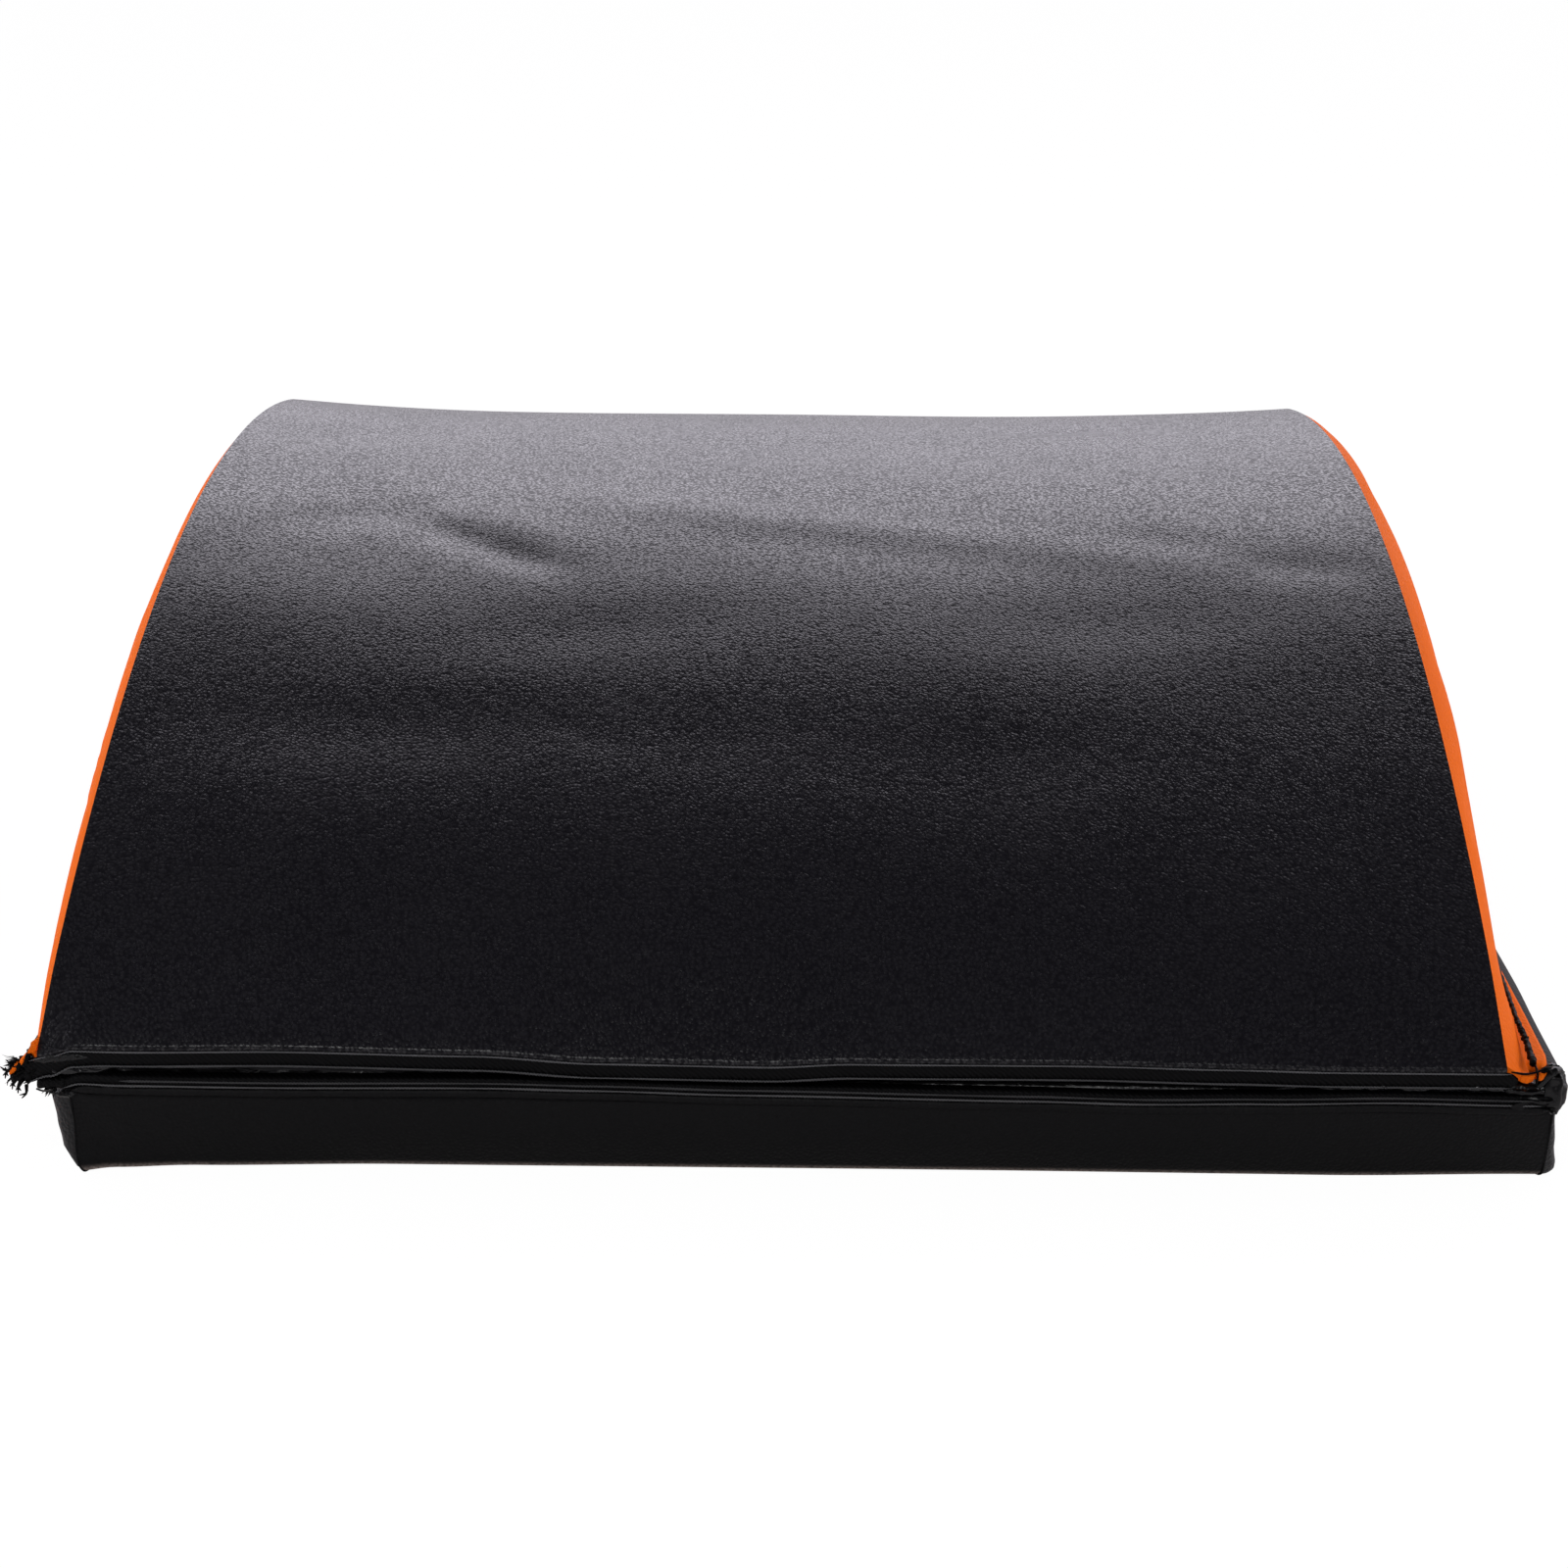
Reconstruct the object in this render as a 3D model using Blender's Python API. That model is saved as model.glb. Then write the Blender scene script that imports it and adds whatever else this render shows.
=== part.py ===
"""Folding ab mat: an arched exercise pad lying on its flat seat pad, hinged along the front edge.

Metres, +Z up, front towards -Y. The origin is on the floor under the middle of the folded mat.
"""
import math

import bpy
import bmesh
from mathutils import Vector

# Driving sizes of the folded mat
MAT_LENGTH = 0.380
CREST_FROM_FRONT = 0.228
ARCH_RISE = 0.0678
COVER_WIDTH = 0.300
SEAT_WIDTH = 0.304
SEAT_THICKNESS = 0.020
FOLD_GAP = 0.003
FOLD_OFFSET = 0.008
CLEARANCE = 0.0003

# Sheet goods
COVER_THICKNESS = 0.0012
SIDE_THICKNESS = 0.0014
UNDERSIDE_THICKNESS = 0.0019
SEAT_SHEET_THICKNESS = 0.0015

# Bound edges
TAPE_DEPTH = 0.0035
TAPE_NOSE_RADIUS = 0.0011
ARCH_TAPE_HEIGHT = 0.0033
ARCH_TAPE_OVERHANG = 0.004
FLANGE_REACH = 0.0075
SEAT_TAPE_HEIGHT = 0.0038
PIPING_WIDTH = 0.0055
PIPING_OVERHANG = 0.004

# How finely the soft forms are cut
FLANK_STATIONS = 12
WIDTH_STATIONS = 8
SIDE_STATIONS = 5
CORNER_STEPS = 4
EDGE_STATIONS = 6
WALL_STATIONS = 4

# Places that follow from the sizes above
FRONT_Y = -MAT_LENGTH / 2
REAR_Y = MAT_LENGTH / 2
ARCH_BOTTOM_Z = SEAT_THICKNESS + FOLD_GAP
ROLL_Z = ARCH_BOTTOM_Z + ARCH_TAPE_HEIGHT + CLEARANCE
CREST_Z = ROLL_Z + ARCH_RISE
ARCH_HALF_REACH = COVER_WIDTH / 2 + FLANGE_REACH
SEAT_HALF_REACH = SEAT_WIDTH / 2 + PIPING_OVERHANG
ARCH_X = -(FOLD_OFFSET - (ARCH_HALF_REACH - SEAT_HALF_REACH)) / 2
SEAT_X = ARCH_X + FOLD_OFFSET


def clear_scene():
    """Start from an empty file."""
    for item in list(bpy.data.objects):
        bpy.data.objects.remove(item, do_unlink=True)


def finish(name, colour, roughness, metallic=0.0):
    """One plain Principled material."""
    material = bpy.data.materials.new(name)
    material.use_nodes = True
    shader = material.node_tree.nodes["Principled BSDF"]
    shader.inputs["Base Color"].default_value = (*colour, 1)
    shader.inputs["Roughness"].default_value = roughness
    shader.inputs["Metallic"].default_value = metallic
    return material


def black_leather(name):
    """Grained black leathercloth of the cover and the seat pad."""
    return finish(name, (0.013, 0.013, 0.015), 0.42)


def orange_leather(name):
    """Smooth orange leathercloth of the side walls and the underside."""
    return finish(name, (0.89, 0.165, 0.02), 0.45)


def woven_tape(name):
    """Black ribbed edge tape."""
    return finish(name, (0.02, 0.02, 0.022), 0.8)


def foam(name):
    """Closed-cell foam inside the pads."""
    return finish(name, (0.06, 0.06, 0.06), 0.9)


def pivot(name, place):
    """Empty that carries the pieces of one rigid body; it is no piece of the mat."""
    empty = bpy.data.objects.new(name, None)
    empty.location = place
    bpy.context.collection.objects.link(empty)
    bpy.context.view_layer.update()
    return empty


def piece(name, bm, material, carrier):
    """Turn a closed mesh into a named piece carried by its body's empty."""
    bmesh.ops.recalc_face_normals(bm, faces=bm.faces)
    mesh = bpy.data.meshes.new(name)
    bm.to_mesh(mesh)
    bm.free()
    mesh.materials.append(material)
    mesh.shade_smooth()
    mesh.set_sharp_from_angle(angle=math.radians(35))
    item = bpy.data.objects.new(name, mesh)
    bpy.context.collection.objects.link(item)
    item.parent = carrier
    item.matrix_parent_inverse = carrier.matrix_world.inverted()
    return item


def loft(rings):
    """Closed body through rings that run the same way round, with a cap on the first and the last."""
    bm = bmesh.new()
    loops = [[bm.verts.new(point) for point in ring] for ring in rings]
    for near, far in zip(loops, loops[1:]):
        for here in range(len(near)):
            bm.faces.new((near[here - 1], near[here], far[here], far[here - 1]))
    bm.faces.new(loops[0])
    bm.faces.new(loops[-1])
    return bm


def spaced(low, high, count):
    """Count + 1 values at equal steps from low to high."""
    return [low + (high - low) * step / count for step in range(count + 1)]


def corner_centre(corner, half_x, half_y):
    """Centre of a seat pad corner's round, counterclockwise from the rear right one."""
    side_x, side_y = ((1, 1), (-1, 1), (-1, -1), (1, -1))[corner % 4]
    return Vector((SEAT_X + side_x * half_x, side_y * half_y, 0))


def edge_places(corner, half_x, half_y):
    """Round centres along the straight edge from one corner to the next, without the corners' own."""
    here = corner_centre(corner, half_x, half_y)
    following = corner_centre(corner + 1, half_x, half_y)
    return [here.lerp(following, share) for share in spaced(0, 1, EDGE_STATIONS)[1:-1]]


def drawn_in(point):
    """Place after the sewing has drawn the seat pad's edges in between its corners, most at the floor."""
    across = (point.x - SEAT_X) / SEAT_WALL_HALF_X
    along = point.y / SEAT_WALL_HALF_Y
    pull = SEAT_DRAW_IN * max(1 - point.z / SEAT_LIP_Z, 0)
    shift = Vector((across * max(1 - along ** 2, 0), along * max(1 - across ** 2, 0), 0))
    return point - pull * shift


def seat_ring(half_x, half_y, z):
    """Level ring round the seat pad's plan, counterclockwise from above."""
    radius = SEAT_CORNER_RADIUS
    ring = []
    for corner in range(4):
        centre = corner_centre(corner, half_x - radius, half_y - radius)
        for turn in spaced(corner, corner + 1, CORNER_STEPS):
            angle = math.radians(90) * turn
            ring.append(centre + radius * Vector((math.cos(angle), math.sin(angle), 0)))
        for place in edge_places(corner, half_x - radius, half_y - radius):
            ring.append(place + radius * Vector((math.cos(angle), math.sin(angle), 0)))
    return [drawn_in(point + Vector((0, 0, z))) for point in ring]


# The arched cover leaves each turned-under hem smoothly. One parabola runs from the front hem over the
# crest; behind the shoulder a cubic fall is added, which turns the back of the pad down to the rear hem.
HEM_RADIUS = 0.0016
HEM_STEPS = 6
HEM_PASSES = 12
REAR_SHOULDER = 0.070
CREST_SAG_SHARE = 0.06
CREST_Y = FRONT_Y + CREST_FROM_FRONT
REAR_RUN = MAT_LENGTH - CREST_FROM_FRONT
WALL_START = TAPE_DEPTH + CLEARANCE


def hem_tangent(run, slope):
    """How far from the crest, and how far below it, a flank of this slope meets its hem."""
    return run - HEM_RADIUS * (1 - math.sin(slope)), ARCH_RISE - HEM_RADIUS * (1 + math.cos(slope))


def front_flank():
    """Slope at the front hem and curvature of the parabola that climbs from it over the crest."""
    slope = math.atan2(2 * ARCH_RISE, CREST_FROM_FRONT)
    for _ in range(HEM_PASSES):
        reach, drop = hem_tangent(CREST_FROM_FRONT, slope)
        slope = math.atan2(2 * drop, reach)
    return slope, drop / reach ** 2


FRONT_SLOPE, CURVATURE = front_flank()


def rear_flank():
    """Slope at the rear hem and factor of the cubic fall that starts at the shoulder."""
    slope = FRONT_SLOPE
    for _ in range(HEM_PASSES):
        reach, drop = hem_tangent(REAR_RUN, slope)
        turned = reach - (REAR_RUN - REAR_SHOULDER)
        fall = (drop - CURVATURE * reach ** 2) / turned ** 3
        slope = math.atan(2 * CURVATURE * reach + 3 * fall * turned ** 2)
    return slope, fall


REAR_SLOPE, SHOULDER_FALL = rear_flank()


def over_arch(y):
    """Height and slope of the cover's outside at the side seams, straight above a place between the hems."""
    behind = y - CREST_Y
    turned = max(y - (REAR_Y - REAR_SHOULDER), 0)
    height = CREST_Z - CURVATURE * behind ** 2 - SHOULDER_FALL * turned ** 3
    return height, math.atan(-2 * CURVATURE * behind - 3 * SHOULDER_FALL * turned ** 2)


def under_cover(y, depth):
    """Height straight above a place, a depth below the cover's outside."""
    height, slope = over_arch(y)
    return height - depth / math.cos(slope)


def hem_points(slope, depth):
    """Turned-under hem from its end to where the flank starts: inset from the edge, and height."""
    radius = HEM_RADIUS - depth
    points = [(TAPE_DEPTH, ROLL_Z + depth)]
    for turn in spaced(math.radians(270), math.radians(90) + slope, HEM_STEPS):
        points.append((HEM_RADIUS + radius * math.cos(turn), ROLL_Z + HEM_RADIUS + radius * math.sin(turn)))
    return points


def cover_section(depth):
    """Cover's section from the front hem's end to the rear hem's end, a depth below its outside."""
    front = spaced(FRONT_Y + WALL_START, CREST_Y, FLANK_STATIONS)
    rear = spaced(CREST_Y, REAR_Y - WALL_START, FLANK_STATIONS)[1:]
    over = []
    for y in front + rear:
        height, slope = over_arch(y)
        over.append((y + depth * math.sin(slope), height - depth * math.cos(slope)))
    front_hem = [(FRONT_Y + inset, z) for inset, z in hem_points(FRONT_SLOPE, depth)]
    rear_hem = [(REAR_Y - inset, z) for inset, z in hem_points(REAR_SLOPE, depth)]
    return front_hem + over + rear_hem[::-1]


def sagged(x, z):
    """Height after the cover's slight sag between its side seams."""
    across = (x - ARCH_X) / (COVER_WIDTH / 2)
    return z - max(z - ROLL_Z - 2 * HEM_RADIUS, 0) * CREST_SAG_SHARE * max(1 - across ** 4, 0)


def arch_top_cover(carrier):
    """Black leathercloth over the arch, with a hem turned under along the front and the rear."""
    section = cover_section(0) + cover_section(COVER_THICKNESS)[::-1]
    rings = []
    for x in spaced(ARCH_X - COVER_WIDTH / 2, ARCH_X + COVER_WIDTH / 2, WIDTH_STATIONS):
        rings.append([Vector((x, y, sagged(x, z))) for y, z in section])
    return piece("arch_top_cover", loft(rings), black_leather("cover"), carrier)


# The side walls stand on the underside panel and swell out past the cover's edge.
SIDE_BULGE = 0.004
PANEL_TOP_Z = ARCH_BOTTOM_Z + UNDERSIDE_THICKNESS
WALL_BOTTOM_Z = PANEL_TOP_Z + CLEARANCE


def wall_stations():
    """Places from front to rear, each with the height of the cover's underside at the side seams."""
    front = spaced(FRONT_Y + WALL_START, CREST_Y, FLANK_STATIONS)
    rear = spaced(CREST_Y, REAR_Y - WALL_START, FLANK_STATIONS)[1:]
    return [(y, under_cover(y, COVER_THICKNESS + CLEARANCE)) for y in front + rear]


def swell(top, share):
    """How far the side stands out at a share of its height, where its top is at this height."""
    full = CREST_Z - WALL_BOTTOM_Z
    return SIDE_BULGE * math.sqrt((top - WALL_BOTTOM_Z) / full) * math.sin(math.pi * share)


def arch_side(name, side, carrier):
    """One orange side wall: a D-shaped panel, bowed outwards."""
    rings = []
    for y, top in wall_stations():
        ring = []
        for depth in (0, SIDE_THICKNESS):
            shares = spaced(0, 1, SIDE_STATIONS)
            for share in shares[::-1] if depth else shares:
                x = COVER_WIDTH / 2 + swell(top, share) - depth
                z = WALL_BOTTOM_Z + share * (top - WALL_BOTTOM_Z)
                ring.append(Vector((ARCH_X + side * x, y, z)))
        rings.append(ring)
    return piece(name, loft(rings), orange_leather(name), carrier)


def arch_foam_core(carrier):
    """Moulded foam block that fills the arch."""
    half = COVER_WIDTH / 2 - SIDE_THICKNESS - CLEARANCE
    rings = []
    for y, top in wall_stations():
        left = []
        right = []
        for share in spaced(0, 1, SIDE_STATIONS)[:-1]:
            x = half + swell(top, share)
            z = WALL_BOTTOM_Z + share * (top - WALL_BOTTOM_Z)
            left.append(Vector((ARCH_X - x, y, z)))
            right.append(Vector((ARCH_X + x, y, z)))
        over = [Vector((x, y, sagged(x, top)))
                for x in spaced(ARCH_X - half, ARCH_X + half, WIDTH_STATIONS)]
        rings.append(left + over + right[::-1])
    return piece("arch_foam_core", loft(rings), foam("arch_foam"), carrier)


FLANGE_EDGE_STEPS = 4


def arch_underside_panel(carrier):
    """Orange sheet under the arch; its side margins stand out as a round-edged seam lip."""
    radius = UNDERSIDE_THICKNESS / 2
    half = ARCH_HALF_REACH - radius
    middle = ARCH_BOTTOM_Z + radius
    rings = []
    for y in (FRONT_Y + WALL_START, REAR_Y - WALL_START):
        ring = []
        for side, start in ((1, -90), (-1, 90)):
            for turn in spaced(math.radians(start), math.radians(start + 180), FLANGE_EDGE_STEPS):
                x = ARCH_X + side * half + radius * math.cos(turn)
                ring.append(Vector((x, y, middle + radius * math.sin(turn))))
        rings.append(ring)
    return piece("arch_underside_panel", loft(rings), orange_leather("arch_underside"), carrier)


NOSE_STEPS = 3


def edge_tape(name, centre_x, half_length, end, bottom, height, carrier):
    """Ribbed tape sewn along the front edge (end -1) or the rear edge (end 1), with a round nose."""
    nose = TAPE_NOSE_RADIUS
    edge = end * MAT_LENGTH / 2
    section = [(edge - end * TAPE_DEPTH, bottom), (edge - end * TAPE_DEPTH, bottom + height)]
    for start, z in ((90, bottom + height - nose), (0, bottom + nose)):
        for turn in spaced(math.radians(start), math.radians(start - 90), NOSE_STEPS):
            y = edge - end * nose + end * nose * math.cos(turn)
            section.append((y, z + nose * math.sin(turn)))
    rings = [[Vector((x, y, z)) for y, z in section]
             for x in (centre_x - half_length, centre_x + half_length)]
    return piece(name, loft(rings), woven_tape(name), carrier)


# The hinge strip is creased along the front edge; one leaf is sewn under the arch, one on the seat pad.
LEAF_DEPTH = 0.010
LEAF_END_MARGIN = 0.006
CREASE_STEPS = 3
LEAF_THICKNESS = (FOLD_GAP - 3 * CLEARANCE) / 2
AXIS_OUTSET = CLEARANCE
AXIS_Y = FRONT_Y - AXIS_OUTSET
AXIS_Z = SEAT_THICKNESS + FOLD_GAP / 2


def hinge_leaf(name, rises, carrier):
    """One leaf of the creased strip; its outer corner is round where it turns into the crease."""
    near = AXIS_Z + rises * CLEARANCE / 2
    far = near + rises * LEAF_THICKNESS
    section = [(FRONT_Y, near), (FRONT_Y + LEAF_DEPTH, near), (FRONT_Y + LEAF_DEPTH, far)]
    for turn in spaced(math.radians(90), math.radians(180), CREASE_STEPS)[:-1]:
        y = FRONT_Y + LEAF_THICKNESS * (1 + math.cos(turn))
        section.append((y, near + rises * LEAF_THICKNESS * math.sin(turn)))
    half = COVER_WIDTH / 2 - LEAF_END_MARGIN
    middle = (ARCH_X + SEAT_X) / 2
    rings = [[Vector((x, y, z)) for y, z in section] for x in (middle - half, middle + half)]
    return piece(name, loft(rings), woven_tape(name), carrier)


# The seat pad is a boxed cushion: four wall strips meet in corner seams between two panels.
SEAT_CORNER_RADIUS = 0.005
SEAT_WALL_SETBACK = 0.0008
SEAT_WALL_BULGE = 0.0006
SEAT_DRAW_IN = 0.0025
SEAT_LIP_Z = SEAT_THICKNESS - SEAT_TAPE_HEIGHT
SEAT_WALL_HALF_X = SEAT_WIDTH / 2
SEAT_WALL_HALF_Y = MAT_LENGTH / 2 - SEAT_WALL_SETBACK


def seat_wall(name, corner, carrier):
    """Wall strip from the middle of one corner to the middle of the next, counterclockwise."""
    bottom = SEAT_SHEET_THICKNESS + CLEARANCE
    top = SEAT_LIP_Z - CLEARANCE
    seam = CLEARANCE / 2 / SEAT_CORNER_RADIUS
    quarter = math.radians(90)
    half = math.radians(45)
    reach = (SEAT_WALL_HALF_X - SEAT_CORNER_RADIUS, SEAT_WALL_HALF_Y - SEAT_CORNER_RADIUS)
    places = []
    for turn, low, high in ((corner, half + seam, quarter), (corner + 1, 0, half - seam)):
        for angle in spaced(turn * quarter + low, turn * quarter + high, CORNER_STEPS // 2):
            outward = Vector((math.cos(angle), math.sin(angle), 0))
            places.append((corner_centre(turn, *reach), outward))
        if turn == corner:
            places += [(place, outward) for place in edge_places(corner, *reach)]
    rings = []
    for centre, outward in places:
        ring = []
        for depth in (0, SEAT_SHEET_THICKNESS):
            shares = spaced(0, 1, WALL_STATIONS)
            for share in shares[::-1] if depth else shares:
                out = SEAT_CORNER_RADIUS + SEAT_WALL_BULGE * math.sin(math.pi * share) - depth
                height = Vector((0, 0, bottom + share * (top - bottom)))
                ring.append(drawn_in(centre + outward * out + height))
        rings.append(ring)
    return piece(name, loft(rings), black_leather(name), carrier)


FLOOR_EDGE_RADIUS = 0.0005


def seat_floor_panel(carrier):
    """Flat sheet that lies on the floor, eased along its lower edge."""
    rings = [seat_ring(SEAT_WALL_HALF_X - inset, SEAT_WALL_HALF_Y - inset, z)
             for inset, z in ((FLOOR_EDGE_RADIUS, 0), (0, FLOOR_EDGE_RADIUS), (0, SEAT_SHEET_THICKNESS))]
    return piece("seat_floor_panel", loft(rings), black_leather("seat_floor"), carrier)


CROWN_MARGIN = 0.012
CROWN_REACH = 0.085
CROWN_HEIGHT = FOLD_GAP - CLEARANCE
CROWN_RINGS = 5
SEAT_INNER_HALF_X = SEAT_HALF_REACH - PIPING_WIDTH - CLEARANCE
SEAT_INNER_HALF_Y = MAT_LENGTH / 2 - TAPE_DEPTH - CLEARANCE


def crown_rings(z):
    """Rings from the edge of the seat pad's upper side to its middle, rising as the filling pushes it up."""
    rings = [(0, 0)]
    for share in spaced(0, 1, CROWN_RINGS):
        inset = CROWN_MARGIN + share * (CROWN_REACH - CROWN_MARGIN)
        rings.append((inset, CROWN_HEIGHT * (1 - math.cos(math.pi * share)) / 2))
    return [seat_ring(SEAT_INNER_HALF_X - inset, SEAT_INNER_HALF_Y - inset, z + rise)
            for inset, rise in rings]


def seat_inner_panel(carrier):
    """Crowned sheet on the side of the seat pad that lies against the arch."""
    lower = crown_rings(SEAT_THICKNESS - SEAT_SHEET_THICKNESS)
    upper = crown_rings(SEAT_THICKNESS)
    return piece("seat_inner_panel", loft(lower[::-1] + upper), black_leather("seat_inner"), carrier)


def seat_foam_core(carrier):
    """Foam slab in the seat pad, crowned like the panel above it."""
    base = seat_ring(SEAT_INNER_HALF_X, SEAT_INNER_HALF_Y, SEAT_SHEET_THICKNESS + CLEARANCE)
    upper = crown_rings(SEAT_THICKNESS - SEAT_SHEET_THICKNESS - CLEARANCE)
    return piece("seat_foam_core", loft([base] + upper), foam("seat_foam"), carrier)


RIDGE_STEPS = 6


def seat_piping(name, side, carrier):
    """Leathercloth edge roll along one side of the seat pad, sewn down its middle into two ridges."""
    ridge = SEAT_TAPE_HEIGHT / 4
    inner = SEAT_HALF_REACH - PIPING_WIDTH
    section = [(inner, SEAT_THICKNESS), (inner, SEAT_LIP_Z)]
    for z in (SEAT_LIP_Z + ridge, SEAT_THICKNESS - ridge):
        for turn in spaced(math.radians(-90), math.radians(90), RIDGE_STEPS):
            section.append((SEAT_HALF_REACH - ridge + ridge * math.cos(turn), z + ridge * math.sin(turn)))
    section.pop(len(section) - RIDGE_STEPS - 1)
    rings = [[Vector((SEAT_X + side * x, y, z)) for x, z in section] for y in (FRONT_Y, REAR_Y)]
    return piece(name, loft(rings), black_leather(name), carrier)


def arch_pad():
    """The arched pad, which stays where it is when the mat is opened."""
    carrier = pivot("arch_pad", (0, 0, 0))
    half_tape = COVER_WIDTH / 2 + ARCH_TAPE_OVERHANG
    arch_foam_core(carrier)
    arch_top_cover(carrier)
    arch_side("arch_left_side", -1, carrier)
    arch_side("arch_right_side", 1, carrier)
    arch_underside_panel(carrier)
    for name, end in (("arch_front_tape", -1), ("arch_rear_tape", 1)):
        edge_tape(name, ARCH_X, half_tape, end, ARCH_BOTTOM_Z, ARCH_TAPE_HEIGHT, carrier)
    hinge_leaf("hinge_upper_leaf", 1, carrier)


def seat_pad():
    """The flat pad, which swings out in front of the arch about the crease of the hinge strip."""
    carrier = pivot("seat_pad", (0, AXIS_Y, AXIS_Z))
    half_tape = SEAT_HALF_REACH - PIPING_WIDTH - CLEARANCE
    seat_foam_core(carrier)
    for corner, name in enumerate(("seat_rear_wall", "seat_left_wall", "seat_front_wall", "seat_right_wall")):
        seat_wall(name, corner, carrier)
    seat_floor_panel(carrier)
    seat_inner_panel(carrier)
    for name, end in (("seat_front_tape", -1), ("seat_rear_tape", 1)):
        edge_tape(name, SEAT_X, half_tape, end, SEAT_LIP_Z, SEAT_TAPE_HEIGHT, carrier)
    seat_piping("seat_left_piping", -1, carrier)
    seat_piping("seat_right_piping", 1, carrier)
    hinge_leaf("hinge_lower_leaf", -1, carrier)


clear_scene()
arch_pad()
seat_pad()
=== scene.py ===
"""Looks of the folding ab mat: an arched black pad with orange sides, folded on its flat seat pad."""

import math
import random

import bmesh
import bpy
from mathutils import Matrix, Vector, noise


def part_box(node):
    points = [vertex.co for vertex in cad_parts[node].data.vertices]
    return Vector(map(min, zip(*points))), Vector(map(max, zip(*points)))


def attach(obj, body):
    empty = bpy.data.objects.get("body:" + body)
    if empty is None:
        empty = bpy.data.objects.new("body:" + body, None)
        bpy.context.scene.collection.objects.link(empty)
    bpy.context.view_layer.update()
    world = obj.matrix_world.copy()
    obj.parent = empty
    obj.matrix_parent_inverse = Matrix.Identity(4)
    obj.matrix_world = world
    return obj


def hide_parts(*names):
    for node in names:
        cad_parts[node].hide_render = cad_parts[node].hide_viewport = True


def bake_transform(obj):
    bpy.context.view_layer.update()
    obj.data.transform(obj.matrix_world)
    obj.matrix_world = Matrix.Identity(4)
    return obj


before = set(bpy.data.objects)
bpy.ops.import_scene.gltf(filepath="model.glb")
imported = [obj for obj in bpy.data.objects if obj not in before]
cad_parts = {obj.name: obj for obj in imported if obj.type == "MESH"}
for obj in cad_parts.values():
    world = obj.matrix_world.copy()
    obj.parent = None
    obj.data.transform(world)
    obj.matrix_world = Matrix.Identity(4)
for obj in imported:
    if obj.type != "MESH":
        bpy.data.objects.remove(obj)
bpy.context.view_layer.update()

# The arch pad's form. The cover, the two side walls and the moulded foam block inside them follow one skin:
# an arch with a hem turned under at the front and the rear, and a wall down each side. The cover is sewn to
# the walls along the arched edges, and the walls are sewn to the underside sheet at their feet.
COVER_LOW, COVER_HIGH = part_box("arch_top_cover")
PANEL_LOW, PANEL_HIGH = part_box("arch_underside_panel")
ARCH_X = (COVER_LOW.x + COVER_HIGH.x) / 2
HALF_COVER = (COVER_HIGH.x - COVER_LOW.x) / 2
FRONT_Y, REAR_Y = COVER_LOW.y, COVER_HIGH.y
ROLL_Z, CREST_Z = COVER_LOW.z, COVER_HIGH.z
CREST_Y = max(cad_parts["arch_top_cover"].data.vertices, key=lambda vert: vert.co.z).co.y
WALL_FOOT_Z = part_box("arch_left_side")[0].z
HEM_RADIUS = 0.0009
HEM_TUCK = 0.0019
REAR_SHOULDER = 0.070
CREST_SAG = 0.0040
ACROSS, ALONG, DOWN, HEM_STEPS = 110, 130, 14, 8
COVER, LEFT_SIDE, RIGHT_SIDE, HEM = 0, 1, 2, 3
LEFT, RIGHT = -1, 1
# The pad has settled to one side, so its right wall leans out to its foot and the left one stands upright.
SIDE_LEAN = {LEFT: 0.0006, RIGHT: 0.0069}
# The seam's folded allowance pushes each wall out just below the cover; places along the pad and amounts.
SIDE_PUFF = {LEFT: ((-0.165, 0.0060), (-0.120, 0.0060), (-0.070, 0.0058), (-0.030, 0.0050)),
             RIGHT: ((-0.185, 0.0), (-0.165, 0.0024), (-0.130, 0.0048), (-0.090, 0.0068))}
SEAM_ROUND = 0.0025


def hem_tangent(run, slope):
    """Reach from the crest and drop below it where a flank of this slope meets its hem."""
    return run - HEM_RADIUS * (1 - math.sin(slope)), CREST_Z - ROLL_Z - HEM_RADIUS * (1 + math.cos(slope))


front_slope = rear_slope = math.radians(30)
for _ in range(12):
    reach, drop = hem_tangent(CREST_Y - FRONT_Y, front_slope)
    curvature = drop / reach ** 2
    front_slope = math.atan(2 * drop / reach)
for _ in range(12):
    reach, drop = hem_tangent(REAR_Y - CREST_Y, rear_slope)
    turned = reach - (REAR_Y - CREST_Y - REAR_SHOULDER)
    fall = (drop - curvature * reach ** 2) / turned ** 3
    rear_slope = math.atan(2 * curvature * reach + 3 * fall * turned ** 2)


def over_arch(y):
    """Height of the arch at the side seams."""
    turned = max(y - (REAR_Y - REAR_SHOULDER), 0)
    return CREST_Z - curvature * (y - CREST_Y) ** 2 - fall * turned ** 3


def through(knots, place):
    """Smooth curve through a few (place, value) knots, level at each of them."""
    if place <= knots[0][0]:
        return knots[0][1]
    for (before, low), (after, high) in zip(knots, knots[1:]):
        if place <= after:
            share = (place - before) / (after - before)
            return low + (high - low) * share * share * (3 - 2 * share)
    return knots[-1][1]


# Rise and fall of the cover's front edge, seen along it from left to right.
UPPER_WAVE = ((-0.157, -0.0022), (-0.151, -0.0010), (-0.146, 0.0004), (-0.135, 0.0003), (-0.104, 0.0008),
              (-0.064, 0.0003), (-0.038, -0.0011), (-0.004, -0.0014), (0.014, -0.0005), (0.060, -0.0003),
              (0.092, -0.0008), (0.112, -0.0011), (0.152, -0.0010))
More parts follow.
